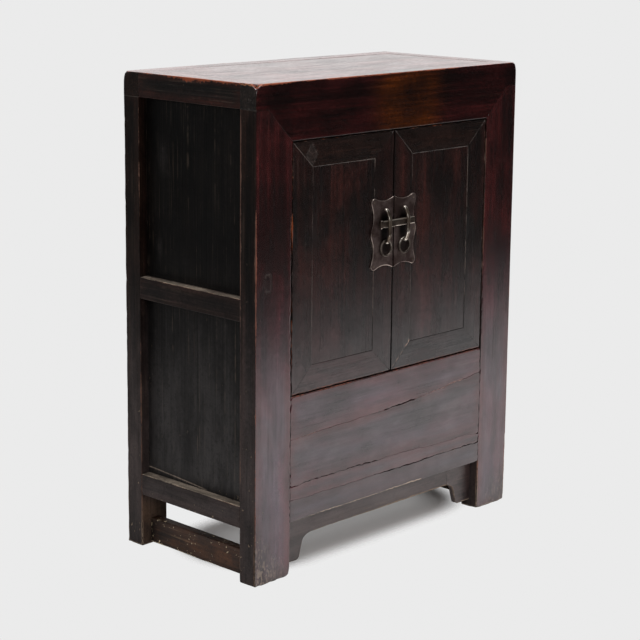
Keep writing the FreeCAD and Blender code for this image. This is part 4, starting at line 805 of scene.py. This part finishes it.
front_piece("front_bottom_rail", RAIL_BACK, (BOTTOM_RAIL_LOW, BOTTOM_RAIL_TOP),
            (level(BOTTOM_RAIL_LOW), rail_seam), RAIL_LACQUER, [((AHEAD, ABOVE, RAIL_CRACK), UNDER_CRACK)],
            worn=[(AHEAD, BELOW, RAIL_WEAR)], flush=[(AHEAD, ABOVE)], rub=1.35)

# How far a spandrel reaches from the leg at each height
SPANDREL_HEIGHTS = (0.014, 0.016, 0.018, 0.022, 0.046, 0.050, 0.053, 0.0555, 0.057)
SPANDREL_REACHES = (0.034, 0.0387, 0.0406, 0.042, 0.049, 0.0515, 0.0555, 0.0605, 0.068)
SPANDREL_LOW = SPANDREL_HEIGHTS[0]
APRON_END = HALF_OPENING - SPANDREL_REACHES[-1]


def spandrel_curve(points):
    """Spreads a spandrel from the leg to its curved edge: x = side (opening - t reach(z)), t from 0 to 1."""
    side = np.sign(points[0, 0])
    share = (HALF_OPENING - np.abs(points[:, 0])) / SPANDREL_REACHES[-1]
    reach = np.interp(points[:, 2], SPANDREL_HEIGHTS, SPANDREL_REACHES)
    return moved(points, 0, side * (HALF_OPENING - share * reach))


board("apron_strip", (-APRON_END, APRON_END), (APRON_FRONT, APRON_BACK), (APRON_LOW, BOTTOM_RAIL_LOW),
      ALONG_X, APRON_LACQUER, INSIDE, worn=[(AHEAD, BELOW)], flush=[(LEFT, AHEAD), (RIGHT, AHEAD)], line=0.0)
for name, side in SIDES:
    inward = (0, -side)
    board(f"apron_spandrel_{name}", (side * APRON_END, side * HALF_OPENING), (APRON_FRONT, APRON_BACK),
          (SPANDREL_LOW, BOTTOM_RAIL_LOW), ALONG_X, APRON_LACQUER, INSIDE,
          worn=[(inward, AHEAD, (SPANDREL_LOW, APRON_LOW)), (AHEAD, BELOW)],
          flush=[(inward, AHEAD, (APRON_LOW, BOTTOM_RAIL_LOW))],
          warp=spandrel_curve, line=0.0, step=0.003, rows=SPANDREL_HEIGHTS[4:])


# Doors

DOOR_OUTER, DOOR_MEETING = HALF_OPENING - DOOR_GAP, DOOR_GAP / 2
DOOR_LOW, DOOR_TOP = SILL_TOP + DOOR_GAP, OPENING_TOP - DOOR_GAP
DOOR_MIDDLE, DOOR_HALF = (DOOR_LOW + DOOR_TOP) / 2, (DOOR_TOP - DOOR_LOW) / 2
# The end of each meeting stile where the mitre shows no line
DOOR_CRISP_MITRE = {"left": ABOVE, "right": BELOW}


def stile_mitre(outer, inner):
    """A warp that mitres a stile's ends: half its height falls by the rail's width to its inner edge."""
    def warp(points):
        share = (points[:, 0] - outer) / (inner - outer)
        half = DOOR_HALF - share * DOOR_RAIL_WIDTH
        return moved(points, 2, DOOR_MIDDLE + (points[:, 2] - DOOR_MIDDLE) * half / DOOR_HALF)
    return warp


def rail_ends(outer, inner, x_middle, x_half):
    """A warp that mitres a door rail's ends: half its length falls by the stile's width to its inner edge."""
    def warp(points):
        share = (points[:, 2] - outer) / (inner - outer)
        half = x_half - share * STILE_WIDTH
        return moved(points, 0, x_middle + (points[:, 0] - x_middle) * half / x_half)
    return warp


def corner_patch(points):
    """A diamond on the left door's upper corner: 1 - |x| / a - |z| / b over 0, with a brighter outline."""
    inside = 1 - np.abs((points[:, (0, 2)] - PATCH_MIDDLE) / PATCH_HALF).sum(axis=1)
    shade = np.maximum(np.clip(4 * inside, 0, 0.35), 0.9 * hump(inside / 0.13))
    return shade * (points[:, 1] < ON_DOOR)


def mitre_chips(points):
    """Chips on the right door's lower mitre by the meeting edge: exp(-d^2) of its distance, by noise."""
    across = (points[:, 0] - DOOR_MEETING) / STILE_WIDTH
    up = (points[:, 2] - DOOR_LOW) / DOOR_RAIL_WIDTH
    broken = np.clip(0.45 + 2.0 * smooth_noise(points, 0.006, 31), 0, 1)
    return hump((across - up) / 0.07) * broken * (up < 1.1) * (points[:, 1] < ON_DOOR)


for name, side in SIDES:
    thick = (DOOR_FACE, DOOR_BACK)
    outward, inward = (0, side), (0, -side)
    hung, met = side * DOOR_OUTER, side * DOOR_MEETING
    hung_in, met_in = hung - side * STILE_WIDTH, met + side * STILE_WIDTH
    middle, half = (hung + met) / 2, (DOOR_OUTER - DOOR_MEETING) / 2
    low_in, top_in = DOOR_LOW + DOOR_RAIL_WIDTH, DOOR_TOP - DOOR_RAIL_WIDTH
    # The door edges, and with a low turn much of their rounding, take the door edge finish: painted shade in
    # the gaps
    board(f"door_{name}_hanging_stile", (hung, hung_in), thick, (DOOR_LOW, DOOR_TOP), ALONG_Z, DOOR_LACQUER,
          {outward: DOOR_EDGE, **INSIDE},
          faint=[(outward, AHEAD, DOOR_WEAR[name])], cracks=[((outward, AHEAD), 0.0026)],
          stain=corner_patch, warp=stile_mitre(hung, hung_in), step=0.003, turn=0.3)
    board(f"door_{name}_meeting_stile", (met, met_in), thick, (DOOR_LOW, DOOR_TOP), ALONG_Z, CHIPPED_LACQUER,
          {inward: DOOR_EDGE, **INSIDE}, plain=[(inward, AHEAD)], flush=[(AHEAD, DOOR_CRISP_MITRE[name])],
          stain=mitre_chips, warp=stile_mitre(met, met_in), step=0.002, turn=0.5)
    board(f"door_{name}_bottom_rail", (hung, met), thick, (DOOR_LOW, low_in), ALONG_X, DOOR_LACQUER,
          {BELOW: DOOR_EDGE, **INSIDE},
          worn=[(AHEAD, BELOW)], warp=rail_ends(DOOR_LOW, low_in, middle, half), rub=1.6, step=0.003)
    board(f"door_{name}_top_rail", (hung, met), thick, (DOOR_TOP, top_in), ALONG_X, DOOR_TOP_LACQUER,
          {ABOVE: DOOR_EDGE, **INSIDE}, plain=[(AHEAD, ABOVE)], cracks=[((AHEAD, ABOVE), 0.0016)],
          flush=[(RIGHT, AHEAD)] if name == "left" else (),
          stain=corner_patch, warp=rail_ends(DOOR_TOP, top_in, middle, half), step=0.002, turn=0.3)
    board(f"door_{name}_panel", (hung_in, met_in), DOOR_PANEL, (low_in, top_in), ALONG_Z, DOOR_LACQUER,
          INSIDE)


# Hardware

# A plate's edges, half height, sag of its top, corner radius, lobe, and the sag and step of its outer side
PLATE_EDGE, PLATE_REACH, PLATE_HALF = 0.0015, 0.058, 0.063
PLATE_SCALLOP, PLATE_CORNER, PLATE_LOBE = 0.006, 0.009, 0.009
PLATE_SIDE_SAG, PLATE_LOBE_STEP = 0.005, 0.002
# Points around a bar's section, and around a ring
BAR_TURNS, RING_TURNS = 16, 72


def even(points, count=200):
    """Points along a curve at equal steps of its length."""
    length = np.concatenate([[0], np.cumsum(np.linalg.norm(np.diff(points, axis=0), axis=1))])
    places = np.linspace(0, length[-1], count)
    return np.column_stack([np.interp(places, length, points[:, axis]) for axis in range(2)])


def plate_borders():
    """A plate's top and outer borders as (distance from the meeting edge's side, height) curves.

    The top is a parabola sagging between the meeting edge and the corner, then half of the corner's arc; the
    outer side is the other half of the arc, a parabola to the lobe, and the lobe, mirrored below the middle.
    """
    t = np.linspace(0, 1, 60)
    turn = np.linspace(0, np.pi / 4, 20)
    corner = PLATE_REACH - PLATE_CORNER
    sag = 1 - (2 * t - 1) ** 2
    scallop = np.column_stack([PLATE_EDGE + t * (corner - PLATE_EDGE), PLATE_HALF - PLATE_SCALLOP * sag])
    centre = np.array([corner, PLATE_HALF - PLATE_CORNER])
    arc, rest = (centre + PLATE_CORNER * np.column_stack([np.sin(angle), np.cos(angle)])
                 for angle in (turn, turn + np.pi / 4))
    start, end = PLATE_HALF - PLATE_CORNER, PLATE_LOBE
    side = np.column_stack([PLATE_REACH - PLATE_LOBE_STEP * t - PLATE_SIDE_SAG * sag,
                            start + t * (end - start)])
    lobe = np.column_stack([PLATE_REACH - PLATE_LOBE_STEP * (1 - t) ** 2, end * (1 - t)])
    upper = np.concatenate([rest, side[1:], lobe[1:]])
    lower = upper[::-1] * (1, -1)
    return even(np.concatenate([scallop, arc[1:]])), even(np.concatenate([lower[::-1], upper[::-1][1:]]))


def plate_form(side):
    """A warp from a block to the plate: a Coons patch, opposite borders blended and the corners taken off."""
    top, outer = plate_borders()
    steps = np.linspace(0, 1, len(top))

    def along(curve, share):
        return np.column_stack([np.interp(share, steps, curve[:, axis]) for axis in range(2)])

    def warp(points):
        u = ((np.abs(points[:, 0]) - PLATE_EDGE) / (PLATE_REACH - PLATE_EDGE))[:, None]
        v = ((points[:, 2] - PLATE_MIDDLE) / PLATE_HALF / 2 + 0.5)[:, None]
        above = along(top, u[:, 0])
        below = above * (1, -1)
        far = along(outer, v[:, 0])
        near = np.column_stack([np.full(len(u), PLATE_EDGE), (2 * v[:, 0] - 1) * PLATE_HALF])
        corner, meeting = top[-1], top[0]
        flat = ((1 - u) * (1 - v) * meeting * (1, -1) + u * (1 - v) * corner * (1, -1)
                + (1 - u) * v * meeting + u * v * corner)
        place = (1 - v) * below + v * above + (1 - u) * near + u * far - flat
        return np.column_stack([side * place[:, 0], points[:, 1], PLATE_MIDDLE + place[:, 1]])
    return warp


def sweep(name, node, path, across, half_width, half_depth, closed, squareness, material):
    """A bar in place of a node: a squared oval, half_width along a fixed direction, carried along a path.

    The section is (w sgn(c) |c|^k, d sgn(s) |s|^k) with c and s the cosine and sine of the turn, and k the
    squareness. It is rubbed bright at its corners and where the path bends: partly real wear, partly a
    painted highlight where light catches them.
    """
    step = np.roll(path, -1, axis=0) - np.roll(path, 1, axis=0) if closed else np.gradient(path, axis=0)
    step /= np.linalg.norm(step, axis=1, keepdims=True)
    through = np.cross(across, step)
    angle = np.linspace(0, 2 * np.pi, BAR_TURNS, endpoint=False)
    width, depth = (half * np.sign(wave) * np.abs(wave) ** squareness
                    for half, wave in ((half_width, np.cos(angle)), (half_depth, np.sin(angle))))
    around = width[None, :, None] * np.asarray(across) + depth[None, :, None] * through[:, None, :]
    points = (path[:, None, :] + around).reshape(-1, 3)
    number = np.arange(len(points)).reshape(len(path), BAR_TURNS)
    after = np.roll(number, -1, axis=0) if closed else number[1:]
    before = number if closed else number[:-1]
    quads = [np.stack([before, np.roll(before, -1, 1), np.roll(after, -1, 1), after], axis=-1).reshape(-1, 4)]
    turning = np.zeros(len(path))
    if not closed:
        j = np.arange(BAR_TURNS // 2 - 1)
        for ring, turned in ((number[0], True), (number[-1], False)):
            cap = np.stack([ring[j], ring[j + 1], ring[BAR_TURNS - 2 - j], ring[BAR_TURNS - 1 - j]], axis=-1)
            quads.append(cap[:, ::-1] if turned else cap)
        turning = np.linalg.norm(np.gradient(step, axis=0), axis=1)
        turning = np.convolve(turning, np.ones(7) / 7, mode="same")
    bends = turning / max(turning.max(), 1e-9)
    # Bright at the section's corners and at the bends: partly rubbing, partly a painted highlight
    wear = 0.2 + 0.4 * np.abs(np.sin(2 * angle))[None, :] + 0.75 * bends[:, None]
    stand_for(new_object(name, points, np.concatenate(quads), [material], {"wear": wear.ravel()}), node)


def rounded(corners, times):
    """A path cut at its corners again and again, a quarter from each end of every run."""
    path = np.asarray(corners, float)
    for _ in range(times):
        first, second = path[:-1], path[1:]
        cut = np.stack([first * 0.75 + second * 0.25, first * 0.25 + second * 0.75], axis=1).reshape(-1, 3)
        path = np.concatenate([path[:1], cut, path[-1:]])
    return path


def handle_dirt_and_shadow(x):
    """Dark places on a plate: a band to the left of the handle, partly dirt and partly a painted shadow of
    the handle, and a dark disc behind its ring.
    """
    def stain(points):
        beside = hump((points[:, 0] - x + 0.003) / 0.0115, 4)
        along = hump((points[:, 2] - (HANDLE_TOP + HANDLE_LOW) / 2) / 0.027, 6)
        disc = hump(np.hypot(points[:, 0] - x + 0.001, points[:, 2] - RING_MIDDLE - 0.001) / 0.0125, 6)
        return np.clip(np.maximum(beside * along, disc * 0.8), 0, 1)
    return stain


# A handle's bends from its upper leg to its lower one, as depths and heights
HANDLE_BENDS = (
    (DOOR_BACK - 0.004, HANDLE_TOP), (DOOR_FACE, HANDLE_TOP), (PLATE_FACE - 0.0015, HANDLE_TOP),
    (PLATE_FACE - 0.0035, HANDLE_TOP - 0.0025), (BAR_Y + 0.0012, HANDLE_TOP - 0.0130),
    (BAR_Y, HANDLE_TOP - 0.0165), (BAR_Y, HANDLE_TOP - 0.0210), (BAR_Y, HANDLE_LOW + 0.0200),
    (BAR_Y, HANDLE_LOW + 0.0145), (BAR_Y + 0.0012, HANDLE_LOW + 0.0115),
    (PLATE_FACE - 0.0048, HANDLE_LOW + 0.0015), (PLATE_FACE - 0.0038, HANDLE_LOW),
    (PLATE_FACE, HANDLE_LOW), (DOOR_BACK - 0.004, HANDLE_LOW))
for name, side in SIDES:
    x = HANDLE_X[name]
    board(f"lock_plate_{name}", (side * PLATE_EDGE, side * PLATE_REACH), (PLATE_FACE, DOOR_FACE),
          (PLATE_MIDDLE - PLATE_HALF, PLATE_MIDDLE + PLATE_HALF), ALONG_Z, PLATE_METAL,
          worn=[(AHEAD, BELOW), (AHEAD, ABOVE)], faint=[((0, side), AHEAD)], plain=[((0, -side), AHEAD)],
          stain=handle_dirt_and_shadow(x), warp=plate_form(side), step=0.0025)
    handle = rounded([(x, *bend) for bend in HANDLE_BENDS], 3)
    sweep(f"handle_{name}_bar", f"handle_{name}", handle, (1, 0, 0), BAR_HALF_WIDTH, BAR_HALF_DEPTH, False,
          BAR_SQUARENESS, BAR_METAL)
    turn = np.linspace(0, 2 * np.pi, RING_TURNS, endpoint=False)
    circle = np.column_stack([x + RING_RADIUS * np.sin(turn), np.full(RING_TURNS, RING_Y),
                              RING_MIDDLE + RING_RADIUS * np.cos(turn)])
    sweep(f"pull_ring_{name}_wire", f"pull_ring_{name}", circle, (0, 1, 0), RING_WIRE, RING_WIRE, True, 1.0,
          RING_METAL)

BOLT_ENDS, BOLT_DEPTH = (-0.040, 0.048), (PLATE_FACE - 0.0073, PLATE_FACE - 0.0003)
BOLT_MIDDLE, BOLT_HALF = PLATE_MIDDLE + 0.0165, 0.00625
BOLT_FLARE = ((-0.0385, -0.036, -0.033, -0.030), (0.0080, 0.0071, 0.0056, BOLT_HALF))


def bolt_form(points):
    """Flares the bolt's left end: half its height goes from the head's to the waist's and then the bar's."""
    half = np.interp(points[:, 0], *BOLT_FLARE)
    return moved(points, 2, BOLT_MIDDLE + (points[:, 2] - BOLT_MIDDLE) * half / BOLT_HALF)


board("lock_bolt", BOLT_ENDS, BOLT_DEPTH, (BOLT_MIDDLE - BOLT_HALF, BOLT_MIDDLE + BOLT_HALF), ALONG_X,
      BOLT_METAL, worn=[(AHEAD, ABOVE), (AHEAD, BELOW)], plain=[(LEFT, AHEAD)], warp=bolt_form,
      radius=0.0008, step=0.0015)

INNER = ("shelf", "bottom_board", "floor_lift_out_board", "floor_board_left", "floor_board_right",
         "floor_bearer_front", "floor_bearer_back", "door_stop", "top_batten", "door_left_batten",
         "door_right_batten")
KEPT = {"plate_nails_left": BAR_METAL, "plate_nails_right": BAR_METAL, **dict.fromkeys(INNER, INNER_WOOD)}
for node, material in KEPT.items():
    frame["nodes"][node].data.materials.clear()
    frame["nodes"][node].data.materials.append(material)


# Floor, light and camera

PALE, DIM = (0.83, 0.83, 0.83, 1), (0.72, 0.72, 0.72, 1)
PAPER = (0.8, 0.775, 0.765, 1)
FLOOR_HALF = 3
# The floor fades in reflections between these distances in front of the cabinet and to its left, and far off
FLOOR_FADE, FAR_FADE = (0.74, 1.72), (2.0, 2.8)
# How far inside the cabinet's outline the shadow's distance is counted from
SHADOW_INSET = 0.16


def floor():
    """A pale sheet that fades out just past the cabinet's shadow, and further off in reflections; for the
    camera it also lets a little of the background through the shadow, a painted lightening of it.
    """
    material = bpy.data.materials.new("pale_floor")
    material.use_nodes = True
    tree = material.node_tree
    paper = tree.nodes["Principled BSDF"]
    for label, value in (("Base Color", PAPER), ("Roughness", 0.9), ("Specular IOR Level", 0.0)):
        paper.inputs[label].default_value = value
    place = add(tree, "ShaderNodeTexCoord").outputs["Object"]
    far = vector_calc(tree, "LENGTH", place)["Value"]
    along = add(tree, "ShaderNodeSeparateXYZ", {0: place}).outputs
    nearest = calc(tree, "MINIMUM", along["X"], along["Y"])
    ahead = rise(tree, nearest, -FLOOR_FADE[0], -FLOOR_FADE[1])
    away = calc(tree, "MAXIMUM", rise(tree, far, *FAR_FADE), ahead)
    half = (HALF_WIDTH - SHADOW_INSET, (BACK - FRONT) / 2 - SHADOW_INSET, 0)
    beside = vector_calc(tree, "SUBTRACT", place, (0, (FRONT + BACK) / 2, 0))[0]
    beside = vector_calc(tree, "ABSOLUTE", beside)[0]
    beside = vector_calc(tree, "SUBTRACT", beside, half)[0]
    beside = vector_calc(tree, "MAXIMUM", beside, (0, 0, 0))[0]
    beside = vector_calc(tree, "LENGTH", beside)["Value"]
    # Up to 0.22 of the pale background shows through the shadow for the camera: painted light that lifts the
    # shadow
    inner, outer = rise(tree, beside, 0.03, 0.12, 0.22, 0.0), rise(tree, beside, 0.10, 0.16)
    seen = calc(tree, "ADD", inner, outer, clamp=True)
    seen = calc(tree, "MULTIPLY", add(tree, "ShaderNodeLightPath").outputs["Is Camera Ray"], seen)
    gone = calc(tree, "MAXIMUM", away, seen)
    clear = add(tree, "ShaderNodeBsdfTransparent").outputs[0]
    mixed = add(tree, "ShaderNodeMixShader", {0: gone, 1: paper.outputs[0], 2: clear}).outputs[0]
    tree.links.new(mixed, tree.nodes["Material Output"].inputs["Surface"])
    corners = FLOOR_HALF * np.array([(-1, -1, 0), (1, -1, 0), (1, 1, 0), (-1, 1, 0)])
    new_object("floor", corners, np.array([[0, 1, 2, 3]]), [material])


def surroundings():
    """Pale for the camera, and in reflections behind the cabinet above the horizon; dim for the rest."""
    world = bpy.data.worlds.new("studio")
    bpy.context.scene.world = world
    world.use_nodes = True
    tree = world.node_tree
    path = add(tree, "ShaderNodeLightPath").outputs
    mirrored = calc(tree, "MAXIMUM", path["Is Glossy Ray"], path["Is Transmission Ray"])
    direction = add(tree, "ShaderNodeTexCoord").outputs["Generated"]
    toward = add(tree, "ShaderNodeSeparateXYZ", {0: direction}).outputs
    above = rise(tree, toward["Z"], -0.04, 0.04)
    behind = rise(tree, toward["Y"], -0.3, 0.2)
    share = calc(tree, "MULTIPLY_ADD", calc(tree, "MULTIPLY", above, behind), 0.99, 0.01)
    shade = blend(tree, mirrored, DIM, blend(tree, share, NO_COLOUR, PALE))
    shade = blend(tree, path["Is Camera Ray"], shade, PALE)
    tree.links.new(shade, tree.nodes["Background"].inputs["Color"])


def soft_light(name, place, aim, size, power):
    """A square lamp that looks at a point."""
    lamp = bpy.data.lights.new(name, "AREA")
    lamp.shape, lamp.size, lamp.energy = "SQUARE", size, power
    obj = bpy.data.objects.new(name, lamp)
    obj.location = place
    obj.rotation_euler = (Vector(aim) - Vector(place)).to_track_quat("-Z", "Y").to_euler()
    bpy.context.scene.collection.objects.link(obj)


def photo_camera():
    """The photograph's view: 46 degrees to the left of the front and 11 above, through a long lens."""
    azimuth, elevation, roll = (math.radians(turn) for turn in (-46.14, 11.0, 0.56))
    target, distance = Vector((-0.0143, 0.0067, 0.4922)), 3.2676
    back = Vector((math.sin(azimuth) * math.cos(elevation), -math.cos(azimuth) * math.cos(elevation),
                   math.sin(elevation)))
    right = Vector((0, 0, 1)).cross(back).normalized()
    up = back.cross(right)
    turned = right * math.cos(roll) + up * math.sin(roll)
    raised = up * math.cos(roll) - right * math.sin(roll)
    camera = bpy.data.objects.new("photo_camera", bpy.data.cameras.new("photo_camera"))
    camera.data.sensor_width = 36.0
    camera.data.lens = 102.0
    camera.data.shift_y = -0.09375
    axes = Matrix((turned, raised, back)).transposed().to_4x4()
    camera.matrix_world = Matrix.Translation(target + back * distance) @ axes
    bpy.context.scene.collection.objects.link(camera)
    bpy.context.scene.camera = camera


floor()
surroundings()
soft_light("overhead", (0.1, -0.8, 4.0), (0.1, -0.1, 0.0), 1.6, 60)
soft_light("by_the_camera", (-1.9, -2.6, 2.2), (0.0, 0.0, 0.4), 1.6, 20)
photo_camera()
bpy.context.scene.view_settings.view_transform = "Standard"
